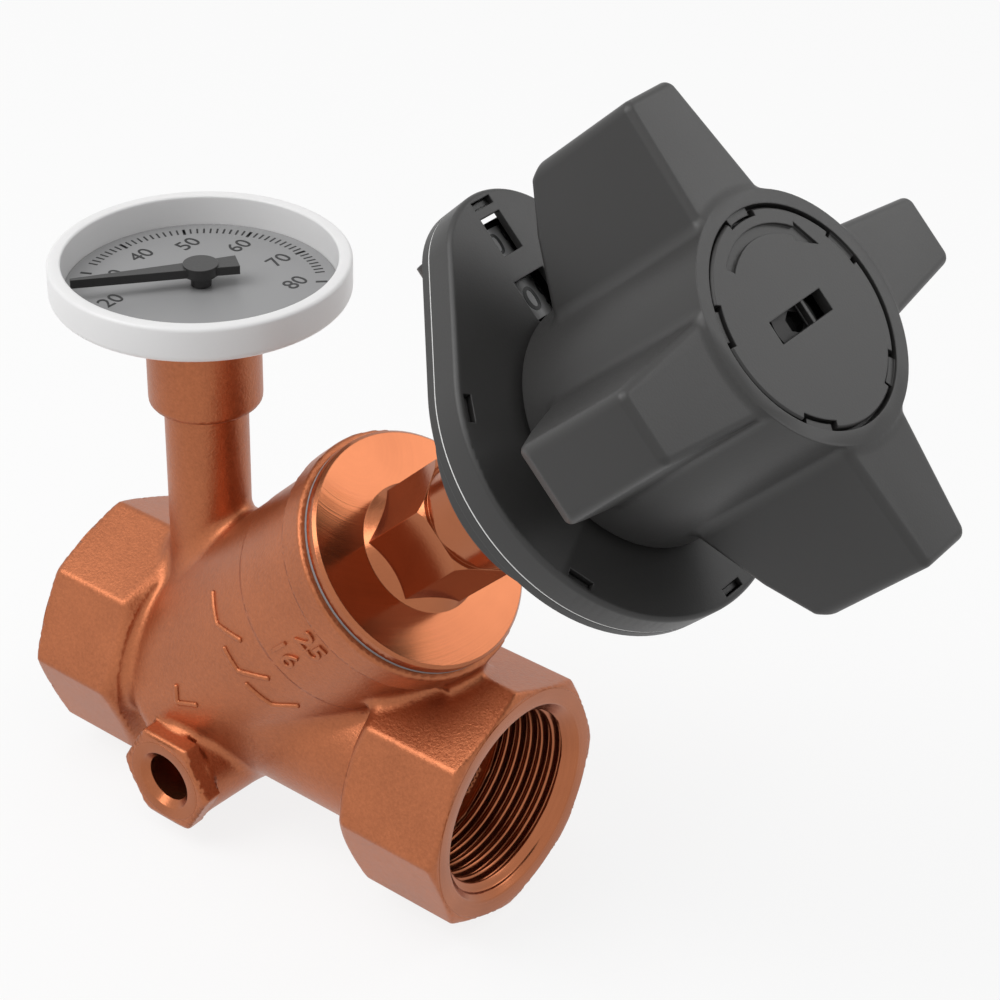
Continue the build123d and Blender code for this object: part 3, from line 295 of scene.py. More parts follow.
@dataclass(frozen=True)
class CastBronze:
    """Blasted bronze casting: fine grain and soft mottling."""

    name: str = "cast_bronze"
    bright: Colour = (0.55, 0.180, 0.074)
    deep: Colour = (0.28, 0.084, 0.034)
    metallic: float = 0.76
    roughness: float = 0.37
    cloud_scale: float = 70.0
    swell_scale: float = 420.0
    speckle_scale: float = 1400.0
    grain_scale: float = 2300.0
    grain_depth: float = 0.18

    def material(self) -> bpy.types.Material:
        """Builds the casting: colour from two noises, grain as a bump, roughness with the grain.

        Returns:
            The finished material.
        """
        net = Net(self.name)
        spot = net.place()
        cloud = net.noise(spot, self.cloud_scale, 3.0)
        speckle = net.noise(spot, self.speckle_scale, 2.0)
        grain = net.noise(spot, self.grain_scale, 3.0, 0.6)
        swell = net.noise(spot, self.swell_scale, 2.0)
        tone = cloud * 0.35 + speckle * 0.25 + grain * 0.4
        colour = net.blend(tone * 1.7 - 0.35, self.deep, self.bright)
        relief = grain * 0.7 + swell * 0.5
        normal = net.bump(relief, self.grain_depth, 0.55, net.rounded(0.35))
        return net.finish(Base_Color=colour, Metallic=self.metallic, Normal=normal,
                          Roughness=self.roughness + (grain - 0.5) * 0.25 + (cloud - 0.5) * 0.10)


@dataclass(frozen=True)
class TurnedBronze:
    """Machined bronze with the fine rings that the tool leaves about an axis."""

    name: str
    turning: Turning
    bright: Colour = (0.48, 0.165, 0.074)
    deep: Colour = (0.27, 0.086, 0.038)
    metallic: float = 0.94
    roughness: float = 0.17
    ring_scale: float = 2400.0
    cloud_scale: float = 90.0

    def material(self) -> bpy.types.Material:
        """Rings: noise stretched along the surface by reading it at (height + radius) only.

        Returns:
            The finished material.
        """
        net = Net(self.name)
        spot = net.place(self.turning.value)
        parts = [net.node("ShaderNodeSeparateXYZ", {}, {0: spot}, axis) for axis in ("X", "Y", "Z")]
        radius = (parts[0] * parts[0] + parts[1] * parts[1]) ** 0.5
        row = net.node("ShaderNodeCombineXYZ", {}, {0: radius, 1: parts[2], 2: 0.0})
        rings = net.noise(row, self.ring_scale, 2.0)
        cloud = net.noise(net.place(), self.cloud_scale, 2.0)
        colour = net.blend(cloud * 0.7 + rings * 0.3, self.deep, self.bright)
        normal = net.bump(rings, 0.03, 0.35, net.rounded(0.2))
        return net.finish(Base_Color=colour, Metallic=self.metallic, Normal=normal,
                          Roughness=self.roughness + (rings - 0.5) * 0.12 + (cloud - 0.5) * 0.08)


@dataclass(frozen=True)
class Moulding:
    """Moulded plastic: fine spark-eroded grain, a faint cloud in the colour and soft edges."""

    name: str
    bright: Colour
    deep: Colour
    roughness: float = 0.45
    grain_scale: float = 3000.0
    grain_depth: float = 0.03
    edge: float = 0.25
    subsurface: float = 0.0

    def material(self) -> bpy.types.Material:
        """Grain as a bump, with the colour and roughness varied a little by noise.

        Returns:
            The finished material.
        """
        net = Net(self.name)
        spot = net.place()
        grain = net.noise(spot, self.grain_scale, 2.0, 0.6)
        cloud = net.noise(spot, 60.0, 2.0)
        colour = net.blend(cloud * 0.6 + grain * 0.4, self.deep, self.bright)
        normal = net.bump(grain, self.grain_depth, 0.4, net.rounded(self.edge))
        return net.finish(Base_Color=colour, Metallic=0.0, Normal=normal, Subsurface_Weight=self.subsurface,
                          Subsurface_Radius=(0.004, 0.004, 0.004), Subsurface_Scale=0.5,
                          Roughness=self.roughness + (grain - 0.5) * 0.14 + (cloud - 0.5) * 0.06)


@dataclass(frozen=True)
class Metal:
    """Plain worked metal with faint scratches in one direction."""

    name: str
    bright: Colour
    deep: Colour
    roughness: float

    def material(self) -> bpy.types.Material:
        """Scratches: noise squeezed along the spindle.

        Returns:
            The finished material.
        """
        net = Net(self.name)
        streaks = net.noise(net.place(Turning.HEAD.value, stretch=(1, 1, 9)), 900.0, 2.0)
        colour = net.blend(streaks, self.deep, self.bright)
        normal = net.bump(streaks, 0.02, 0.3)
        return net.finish(Base_Color=colour, Metallic=1.0, Normal=normal,
                          Roughness=self.roughness + (streaks - 0.5) * 0.2)


@dataclass(frozen=True)
class Paint:
    """Flat printed or painted face with a fine tooth."""

    name: str
    bright: Colour
    deep: Colour
    roughness: float = 0.5

    def material(self) -> bpy.types.Material:
        """Colour and roughness follow one fine noise and one cloud.

        Returns:
            The finished material.
        """
        net = Net(self.name)
        spot = net.place()
        tooth = net.noise(spot, 5200.0, 2.0)
        cloud = net.noise(spot, 45.0, 2.0)
        normal = net.bump(tooth, 0.01, 0.25)
        colour = net.blend(cloud * 0.5 + tooth * 0.5, self.deep, self.bright)
        return net.finish(Base_Color=colour, Normal=normal, Roughness=self.roughness + (tooth - 0.5) * 0.1)


FINISHES = {
    "bronze": CastBronze(),
    "polished_bronze": TurnedBronze("turned_bronze", Turning.HEAD),
    "thread": TurnedBronze("thread_bronze", Turning.PIPE, roughness=0.24),
    "brass": Metal("spindle_brass", (0.62, 0.42, 0.17), (0.50, 0.32, 0.12), 0.28),
    "steel": Metal("bright_steel", (0.58, 0.58, 0.57), (0.46, 0.46, 0.46), 0.3),
    "blackened": Metal("blackened_steel", (0.045, 0.044, 0.044), (0.030, 0.030, 0.030), 0.42),
    "gasket_fibre": Paint("gasket_fibre", (0.30, 0.30, 0.31), (0.22, 0.22, 0.23), 0.7),
    "rubber": Moulding("seal_rubber", (0.016, 0.016, 0.016), (0.010, 0.010, 0.010), 0.6),
    "dark_plastic": Moulding("dark_plastic", (0.028, 0.0272, 0.0265), (0.020, 0.0195, 0.019), 0.43),
    # pale_seal: colour of the seam bead, a painted highlight line along the housing's seam
    "pale_seal": Paint("pale_seal", (0.80, 0.80, 0.79), (0.72, 0.72, 0.71), 0.6),
    "gear_plastic": Moulding("gear_plastic", (0.62, 0.60, 0.53), (0.55, 0.53, 0.47), 0.4, edge=0.08),
    "drum_plastic": Moulding("drum_plastic", (0.24, 0.24, 0.24), (0.20, 0.20, 0.20), 0.42, edge=0.1),
    "white_plastic": Moulding("milky_plastic", (0.80, 0.795, 0.795), (0.76, 0.755, 0.755), 0.32,
                              grain_scale=2200.0, grain_depth=0.012, edge=0.2, subsurface=0.15),
    "dial_enamel": Paint("dial_enamel", (0.285, 0.285, 0.287), (0.255, 0.255, 0.258), 0.45),
    "pointer_black": Moulding("pointer_black", (0.022, 0.021, 0.021), (0.016, 0.016, 0.016), 0.35, edge=0.12),
    "ink": Paint("scale_ink", (0.020, 0.020, 0.021), (0.014, 0.014, 0.014), 0.5),
}
MATERIALS = {key: finish.material() for key, finish in FINISHES.items()}

# Each node wears the finish of its slot, apart from two screws, and two more finishes share a slot.
NODE_FINISH = {row["node"]: row["material_slot"] for row in frame["record"]["subparts"]}
NODE_FINISH.update(handwheel_screw="blackened", screw_washer="blackened")


def body_of_node(node: str) -> str:
    """Name of the body that a CAD node rides on."""
    groups = frame["record"]["behaviour"]["bodies"]
    return next(body for body, members in groups.items() if node in members)


def link_new(name: str, data: bpy.types.ID) -> bpy.types.Object:
    """Adds an object that shows a data block to the scene.

    Args:
        name: Name of the object.
        data: Mesh, curve, lamp or camera that it shows.

    Returns:
        The new object.
    """
    added = bpy.data.objects.new(name, data)
    bpy.context.scene.collection.objects.link(added)
    return added


def add_piece(name: str, points: np.ndarray, faces: np.ndarray, finish: str, body: str,
              sharp: float = 32.0, flat: float | None = None) -> bpy.types.Object:
    """Makes an object from points and faces, shades it and hangs it on a body.

    Args:
        name: Name of the piece.
        points: Corner places in metres in the frame.
        faces: Corner numbers of each face.
        finish: Key of the finish.
        body: Name of the body that it rides on.
        sharp: Angle in degrees above which an edge stays sharp.
        flat: Angle in degrees up to which faces are merged into one. Without it every face is
            kept and its normal pointed outwards.

    Returns:
        The new object.
    """
    mesh = bpy.data.meshes.new(name)
    mesh.from_pydata(points.reshape(-1, 3).tolist(), [], faces.tolist())
    shell = bmesh.new()
    shell.from_mesh(mesh)
    if flat is None:
        bmesh.ops.recalc_face_normals(shell, faces=shell.faces)
    else:
        bmesh.ops.dissolve_limit(shell, angle_limit=radians(flat), verts=shell.verts, edges=shell.edges)
    shell.to_mesh(mesh)
    shell.free()
    mesh.shade_smooth()
    mesh.set_sharp_from_angle(angle=radians(sharp))
    mesh.materials.append(MATERIALS[finish])
    piece = link_new(name, mesh)
    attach(piece, body)
    LOG.info("%s: %d points, %d faces", name, len(mesh.vertices), len(mesh.polygons))
    return piece


def add_ring(name: str, axes: Axes, grid: Sequence[np.ndarray], finish: str,
             sharp: float = 32.0) -> bpy.types.Object:
    """Makes a piece of the fixed body from a grid of places that closes both ways.

    Args:
        name: Name of the piece.
        axes: Axes that the places are given in.
        grid: Arrays of x, y and z in millimetres, which broadcast to rows x columns.
        finish: Key of the finish.
        sharp: Angle in degrees above which an edge stays sharp.

    Returns:
        The new object.
    """
    points = np.stack(np.broadcast_arrays(*grid), axis=-1)
    faces = grid_quads(*points.shape[:2], close_rows=True, close_columns=True)
    return add_piece(name, axes.place(points), faces, finish, "body", sharp)


def full_turn(columns: int) -> np.ndarray:
    """Evenly spaced angles of a full turn, as one row."""
    return np.linspace(0, 2 * pi, columns, endpoint=False)[None, :]


def capped_grid(rows: np.ndarray) -> tuple[np.ndarray, np.ndarray]:
    """Closes a tube of closed rows with a fan at each end.

    Args:
        rows: Array of rows x columns x 3 points, each row a closed loop.

    Returns:
        Points with the two end centres added, and faces as triangles and quads split in two.
    """
    count, columns = rows.shape[:2]
    points = np.concatenate([rows.reshape(-1, 3), rows[0].mean(0)[None], rows[-1].mean(0)[None]])
    quads = grid_quads(count, columns, close_columns=True)
    walls = np.concatenate([quads[:, [0, 1, 2]], quads[:, [0, 2, 3]]])
    j = np.arange(columns)
    beside = (j + 1) % columns
    first = np.stack([np.full(columns, count * columns), beside, j], axis=-1)
    base = (count - 1) * columns
    last = np.stack([np.full(columns, count * columns + 1), base + j, base + beside], axis=-1)
    return points, np.concatenate([walls, first, last])


@dataclass
class SmoothSkin:
    """Smooth copy of a CAD node: its loose triangles are welded, flats merged and edges shaded."""

    node: str
    weld: float = 0.002
    flat: float = 0.4
    sharp: float = 33.0

    def build(self) -> bpy.types.Object:
        """Welds corners that share a place within the weld length, and dresses the copy.

        Returns:
            The object that stands for the node.
        """
        source = frame["nodes"][self.node].data
        source.calc_loop_triangles()
        places = np.empty(len(source.vertices) * 3)
        source.vertices.foreach_get("co", places)
        corners = np.empty(len(source.loop_triangles) * 3, int)
        source.loop_triangles.foreach_get("vertices", corners)
        places = places.reshape(-1, 3)
        keys = np.round(places / (self.weld * MM)).astype(int)
        first, owner = np.unique(keys, axis=0, return_index=True, return_inverse=True)[1:]
        faces = owner.reshape(-1)[corners].reshape(-1, 3)
        whole = (faces[:, 0] != faces[:, 1]) & (faces[:, 1] != faces[:, 2]) & (faces[:, 2] != faces[:, 0])
        piece = add_piece(self.node + "_skin", places[first], faces[whole], NODE_FINISH[self.node],
                          body_of_node(self.node), self.sharp, self.flat)
        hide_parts(self.node)
        return piece


def rounded_union(first: np.ndarray, second: np.ndarray, radius: float) -> np.ndarray:
    """Union of two distance fields with a hollow round: max(r, min(a, b)) - |(r - a, r - b)| above 0."""
    far = np.maximum(radius, np.minimum(first, second))
    return far - np.hypot(np.maximum(radius - first, 0), np.maximum(radius - second, 0))


def rounded_common(first: np.ndarray, second: np.ndarray, radius: float) -> np.ndarray:
    """Common part of two distance fields with a rounded edge: the union of their outsides, inside out."""
    return -rounded_union(-first, -second, radius)


def flats(across: np.ndarray, up: np.ndarray, half: float, count: int,
          sharpness: float = 160.0) -> np.ndarray:
    """Distance to a polygon with corners on both axes: the sharpness-norm of the heights over its sides.

    Args:
        across: First coordinate in millimetres.
        up: Second coordinate in millimetres.
        half: Half the width across flats.
        count: Number of sides.
        sharpness: Power of the norm, which sets how sharp the corners are.

    Returns:
        The distance, negative inside.
    """
    total = np.zeros_like(across)
    for side in range(count):
        angle = pi / count + 2 * pi * side / count
        total += (np.maximum(across * cos(angle) + up * sin(angle), 0) / half) ** sharpness
    return half * (total ** (1 / sharpness) - 1)


@dataclass
class CastBody:
    """Body casting as the zero surface of a distance field, with the rounds that a mould gives."""

    axis_x: float = 27.07
    inlet: float = -0.93
    outlet: float = 89.07
    pipe: float = 15.35
    barrel: float = 19.85
    barrel_foot: float = -9.0
    barrel_foot_round: float = 6.0
    band: float = 35.7
    flare: float = 49.9
    rim: float = 56.4
    end_half: float = 20.5
    end_face_radius: float = 20.7
    end_face_slope: float = 2.11
    end_back_slope: float = 1.41
    inlet_length: float = 18.6
    outlet_length: float = 20.6
    neck_x: float = 22.47
    neck: float = 7.1
    collar: float = 9.6
    collar_foot: float = 52.0
    collar_top: float = 72.2
    drain_x: float = 32.07
    drain_z: float = -9.7
    drain_face: float = -24.0
    drain_hex: float = 3.3
    drain_half: float = 8.5
    drain_corner: float = 8.9
    drain_boss: float = 8.6
    drain_boss_back: float = -7.0
    thread_hole: float = 16.9
    thread_mouth: float = 17.8
    thread_depth: float = 17.93
    passage: float = 12.6
    passage_start: float = 16.5
    chamber: float = 16.4
    chamber_foot: float = 3.5
    chamber_flare: float = 1.6
    chamber_flare_foot: float = 44.0
    seat_top: float = 4.0
    seat_hole: float = 10.5
    lip: float = 12.0
    lip_foot: float = 3.0
    lip_top: float = 5.2
    drain_hole: float = 4.5
    drain_mouth: float = 1.2
    drain_depth: float = -12.0
    drain_drill: float = 2.0
    drill_depth: float = -3.0
    pocket: float = 4.6
    pocket_foot: float = 27.0
    pocket_mouth: float = 70.6
    barrel_round: float = 2.6
    end_round: float = 3.0
    neck_round: float = 3.0
    drain_round: float = 1.8
    spacing: float = 0.72
    half_width: float = 23.5
    margin: float = 1.5

    def wrench_end(self, x: np.ndarray, y: np.ndarray, z: np.ndarray, face: float,
                   length: float) -> np.ndarray:
        """Octagon bounded by its face, a steep cone at the face and a slope at the inner end.

        Args:
            x: Places along the pipe in millimetres.
            y: Places across the pipe, with the drain port towards -Y.
            z: Heights above the pipe's axis.
            face: Place of the end's face along the pipe.
            length: Length of the octagon.

        Returns:
            The distance, negative inside.
        """
        way = 1.0 if face == self.inlet else -1.0
        depth = (x - face) * way
        around = np.hypot(y, z)
        steep, gentle = self.end_face_slope, self.end_back_slope
        front = (around - self.end_face_radius - steep * depth) / hypot(1, steep)
        back = (around - self.end_half + 0.3 - gentle * (length - depth)) / hypot(1, gentle)
        prism = flats(y, z, self.end_half, 8)
        shape = rounded_common(rounded_common(prism, front, 0.5), back, 0.8)
        return np.maximum(shape, np.maximum(-depth, depth - length))

    def outside(self, x: np.ndarray, y: np.ndarray, z: np.ndarray) -> np.ndarray:
        """Outer form: tubes, octagons, neck, collar and boss, united with rounds.

        Args:
            x: Places along the pipe in millimetres.
            y: Places across the pipe, with the drain port towards -Y.
            z: Heights above the pipe's axis.

        Returns:
            The distance, negative inside.
        """
        along = (x - self.axis_x + z) * cos(pi / 4)
        across = (z - x + self.axis_x) * cos(pi / 4)
        wall = self.barrel + 0.15 * np.clip((along - self.band) / 0.3, 0, 1)
        wall = wall + np.clip(along - self.flare, 0, 1.3)
        drum = rounded_common(np.hypot(across, y) - wall, self.barrel_foot - along, self.barrel_foot_round)
        drum = rounded_common(drum, along - self.rim, 0.5)
        tube = np.maximum(np.hypot(y, z) - self.pipe, np.maximum(self.inlet + 1 - x, x - self.outlet + 1))
        form = rounded_union(tube, drum, self.barrel_round)
        form = rounded_union(form, self.wrench_end(x, y, z, self.inlet, self.inlet_length), self.end_round)
        form = rounded_union(form, self.wrench_end(x, y, z, self.outlet, self.outlet_length), self.end_round)
        stand = np.hypot(x - self.neck_x, y)
        neck = np.maximum(stand - self.neck, np.maximum(-z, z - self.collar_foot - 1))
        form = rounded_union(form, neck, self.neck_round)
        collar = rounded_common(stand - self.collar, self.collar_foot - z, 0.9)
        collar = rounded_common(collar, z - self.collar_top, 0.5)
        form = rounded_union(form, collar, 0.7)
        out = np.hypot(x - self.drain_x, z - self.drain_z)
        shoulder = self.drain_face + self.drain_hex
        cone = out - self.drain_boss - 0.051 * (y - shoulder)
        boss = np.maximum(rounded_common(cone, shoulder - y, 0.4), y - self.drain_boss_back)
        form = rounded_union(form, boss, self.drain_round)
        nut = flats(x - self.drain_x, z - self.drain_z, self.drain_half, 6)
        nut = rounded_common(nut, self.drain_face - y, 0.3)
        corner = (out - self.drain_corner - 1.6 * (y - self.drain_face)) / hypot(1, 1.6)
        nut = rounded_common(nut, corner, 0.3)
        return rounded_union(form, np.maximum(nut, y - shoulder - 0.5), 0.3)

    def inside(self, x: np.ndarray, y: np.ndarray, z: np.ndarray) -> np.ndarray:
        """Hollows: both thread bores, the waterway with its partition and seat, chamber, drain and pocket.

        Args:
            x: Places along the pipe in millimetres.
            y: Places across the pipe, with the drain port towards -Y.
            z: Heights above the pipe's axis.

        Returns:
            The distance, negative in a hollow.
        """
        along = (x - self.axis_x + z) * cos(pi / 4)
        across = (z - x + self.axis_x) * cos(pi / 4)
        spoke = np.hypot(across, y)
        around = np.hypot(y, z)
        depth = np.minimum(x - self.inlet, self.outlet - x)
        mouth = np.maximum(self.thread_hole, self.thread_mouth - np.maximum(depth, 0))
        bore = np.maximum(around - mouth, depth - self.thread_depth)
        passage = np.maximum(around - self.passage, self.passage_start - depth)
        flare = np.clip((along - self.chamber_flare_foot) * 1.6, 0, self.chamber_flare)
        room = np.maximum(spoke - self.chamber - flare, self.chamber_foot - along)
        plate = np.maximum(np.maximum(-along, along - self.seat_top), -(spoke - self.seat_hole))
        lip = np.maximum(np.maximum(spoke - self.lip, self.seat_hole - spoke),
                         np.maximum(self.lip_foot - along, along - self.lip_top))
        water = np.maximum(np.minimum(passage, room), -np.minimum(plate, lip))
        drain = np.hypot(x - self.drain_x, z - self.drain_z)
        mouth = np.maximum(self.drain_face + self.drain_mouth - y, 0)
        port = np.maximum(drain - self.drain_hole - mouth, y - self.drain_depth)
        drill = np.maximum(drain - self.drain_drill, y - self.drill_depth)
        stand = np.hypot(x - self.neck_x, y)
        pocket = np.maximum(stand - self.pocket - np.clip(z - self.pocket_mouth, 0, 1), self.pocket_foot - z)
        return np.minimum(np.minimum(np.minimum(bore, water), np.minimum(port, drill)), pocket)

    def distance(self, points: np.ndarray) -> np.ndarray:
        """Distance to the casting's skin in millimetres, negative in the metal: max(outside, -inside)."""
        x, y, z = points[..., 0], points[..., 1], points[..., 2]
        return np.maximum(self.outside(x, y, z), -self.inside(x, y, z))

    def slope(self, points: np.ndarray, step: float = 0.02) -> np.ndarray:
        """Gradient of the distance by central differences over twice the step.

        Args:
            points: Places in millimetres.
            step: Half the span of a difference.

        Returns:
            Array of the same shape with the slope along each axis.
        """
        shifts = np.eye(3) * step
        parts = [self.distance(points + shift) - self.distance(points - shift) for shift in shifts]
        return np.stack(parts, axis=-1) / (2 * step)

    def skin(self) -> tuple[np.ndarray, np.ndarray]:
        """Finds the zero surface on a grid by the surface nets method and draws it onto the surface.

        Each cell with a change of sign gets one point at the mean of its edges' crossings, each
        grid edge with a change of sign gets one face between its four cells, and the points are
        then moved by distance / |slope|^2 times the slope.

        Returns:
            Points in millimetres and four corners for each face.
        """
        low = np.array([self.inlet - self.margin, self.drain_face - self.margin, -self.half_width])
        high = np.array([self.outlet + self.margin, self.half_width, self.collar_top + self.margin])
        counts = np.ceil((high - low) / self.spacing).astype(int) + 1
        axes = [low[k] + self.spacing * np.arange(counts[k]) for k in range(3)]
        slices = (np.stack(np.meshgrid([x], *axes[1:], indexing="ij"), axis=-1) for x in axes[0])
        field = np.stack([self.distance(places)[0] for places in slices])
        metal = field < 0
        ends = [np.array([a, b, c]) for a in (0, 1) for b in (0, 1) for c in (0, 1)]
        size = counts - 1
        total = sum(metal[a:a + size[0], b:b + size[1], c:c + size[2]].astype(int) for a, b, c in ends)
        cells = np.argwhere((total > 0) & (total < 8))
        number = np.full(size, -1)
        number[tuple(cells.T)] = np.arange(len(cells))
        value = {tuple(end): field[tuple((cells + end).T)] for end in ends}
        mean, hits = np.zeros((len(cells), 3)), np.zeros(len(cells))
        for start in ends:
            for k in range(3):
                if start[k] == 0:
                    stop = start.copy()
                    stop[k] = 1
                    first, second = value[tuple(start)], value[tuple(stop)]
                    crossing = (first < 0) != (second < 0)
                    share = np.where(crossing, first / np.where(crossing, first - second, 1.0), 0.0)
                    mean += crossing[:, None] * (start + share[:, None] * (stop - start))
                    hits += crossing
        points = low + self.spacing * (cells + mean / hits[:, None])
        faces = []
        for k in range(3):
            one, two = (k + 1) % 3, (k + 2) % 3
            ahead = np.zeros(3, int)
            ahead[k] = 1
            here = metal[tuple(slice(0, size[m]) for m in range(3))]
            there = metal[tuple(slice(ahead[m], size[m] + ahead[m]) for m in range(3))]
            edge = np.argwhere(here != there)
            edge = edge[(edge[:, one] > 0) & (edge[:, two] > 0)]
            ring = []
            for back_one, back_two in ((1, 1), (0, 1), (0, 0), (1, 0)):
                cell = edge.copy()
                cell[:, one] -= back_one
                cell[:, two] -= back_two
                ring.append(number[tuple(cell.T)])
            quad = np.stack(ring, axis=-1)
            turned_over = ~here[tuple(edge.T)]
            quad[turned_over] = quad[turned_over][:, ::-1]
            faces.append(quad)
        for _ in range(3):
            slope = self.slope(points)
            move = (self.distance(points) / np.maximum((slope ** 2).sum(-1), 0.3))[:, None] * slope
            reach = np.linalg.norm(move, axis=1, keepdims=True)
            points = points - move * np.minimum(1, 0.4 * self.spacing / np.maximum(reach, 1e-9))
        return points, np.concatenate(faces)

    def build(self) -> bpy.types.Object:
        """Makes the casting, with the normals taken from the slope of its distance field.

        Returns:
            The new piece.
        """
        points, faces = self.skin()
        piece = add_piece("body_casting", PIPE.place(points), faces, "bronze", "body", 180.0)
        slope = self.slope(points, 0.12)
        normals = slope / np.linalg.norm(slope, axis=1, keepdims=True)
        piece.data.normals_split_custom_set_from_vertices(normals.tolist())
        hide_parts("valve_body")
        return piece


@dataclass
class DrainMouth:
    """Machined mouth of the drain port: face ring, countersink and bore, with a plain outer wall."""

    axis_x: float = 32.07
    axis_z: float = -9.7
    face: float = -24.0
    ring: float = 7.6
    mouth: float = 5.5
    bore: float = 4.3
    depth: float = 11.8
    columns: int = 96

    def build(self) -> bpy.types.Object:
        """Turns the closed section about the port's axis: (x + r cos a, y, z + r sin a).

        Returns:
            The new piece.
        """
        section = np.array([(self.ring, 0.25), (self.ring, -0.02), (self.mouth + 0.15, -0.02),
                            (self.mouth, 0.02), (self.bore, self.mouth - self.bore), (self.bore, self.depth),
                            (self.bore + 0.4, self.depth), (self.bore + 0.4, 1.6), (self.mouth + 0.6, 0.4)])
        angle = full_turn(self.columns)
        reach, depth = section[:, :1], section[:, 1:]
        grid = (self.axis_x + reach * np.cos(angle), self.face + depth, self.axis_z + reach * np.sin(angle))
        return add_ring("drain_mouth", PIPE, grid, "thread", 25.0)


@dataclass
class PipeThread:
    """Inside pipe thread of one end, as a closed sleeve, with its machined face ring."""

    name: str
    mouth: float
    inward: int
    pitch: float = 2.309
    crest: float = 15.2
    root: float = 16.58
    mouth_radius: float = 17.55
    face_ring: float = 20.25
    depth: float = 16.4
    shell: float = 16.86
    rows_per_turn: int = 16
    columns: int = 144

    def radius(self, depth: np.ndarray, angle: np.ndarray) -> np.ndarray:
        """Radius of the threaded wall at a depth and angle.

        The wave sin(2 pi (depth / pitch - angle / turn)) is steepened by a tanh to give round
        crests with straight flanks, and the mouth's cone and the runout bound it from inside.

        Args:
            depth: Distance from the face in millimetres.
            angle: Angle about the pipe in radians.

        Returns:
            Radius in millimetres.
        """
        wave = np.sin(2 * pi * (depth / self.pitch - self.inward * angle / (2 * pi)))
        middle, half = (self.crest + self.root) / 2, (self.root - self.crest) / 2
        cut = middle + half * np.tanh(1.5 * wave) / np.tanh(1.5)
        cone = self.mouth_radius - depth
        runout = self.crest + np.clip((depth - self.depth + 1.6) / 1.2, 0, 1) * (self.root - self.crest)
        return np.maximum(np.minimum(np.maximum(cut, runout), self.root), cone)

    def build(self) -> bpy.types.Object:
        """Makes the sleeve: face ring, threaded wall row by row, and a plain wall back to the ring.

        Returns:
            The new piece.
        """
        count = int(self.rows_per_turn * self.depth / self.pitch)
        wall = np.linspace(0.0, self.depth, count)[:, None]
        angle = full_turn(self.columns)
        plain = np.ones_like(angle)
        front = np.array([(0.3, self.face_ring - 0.1), (-0.03, self.face_ring),
                          (-0.03, self.mouth_radius + 0.1)])
        rear = np.array([(self.depth, self.shell), (1.1, self.shell), (0.3, self.mouth_radius + 0.15)])
        radius = np.concatenate([front[:, 1:] * plain, self.radius(wall, angle), rear[:, 1:] * plain])
        along = np.concatenate([front[:, :1], wall, rear[:, :1]])
        grid = (self.mouth + self.inward * along, radius * np.cos(angle), radius * np.sin(angle))
        return add_ring(self.name, PIPE, grid, "thread", 60.0)


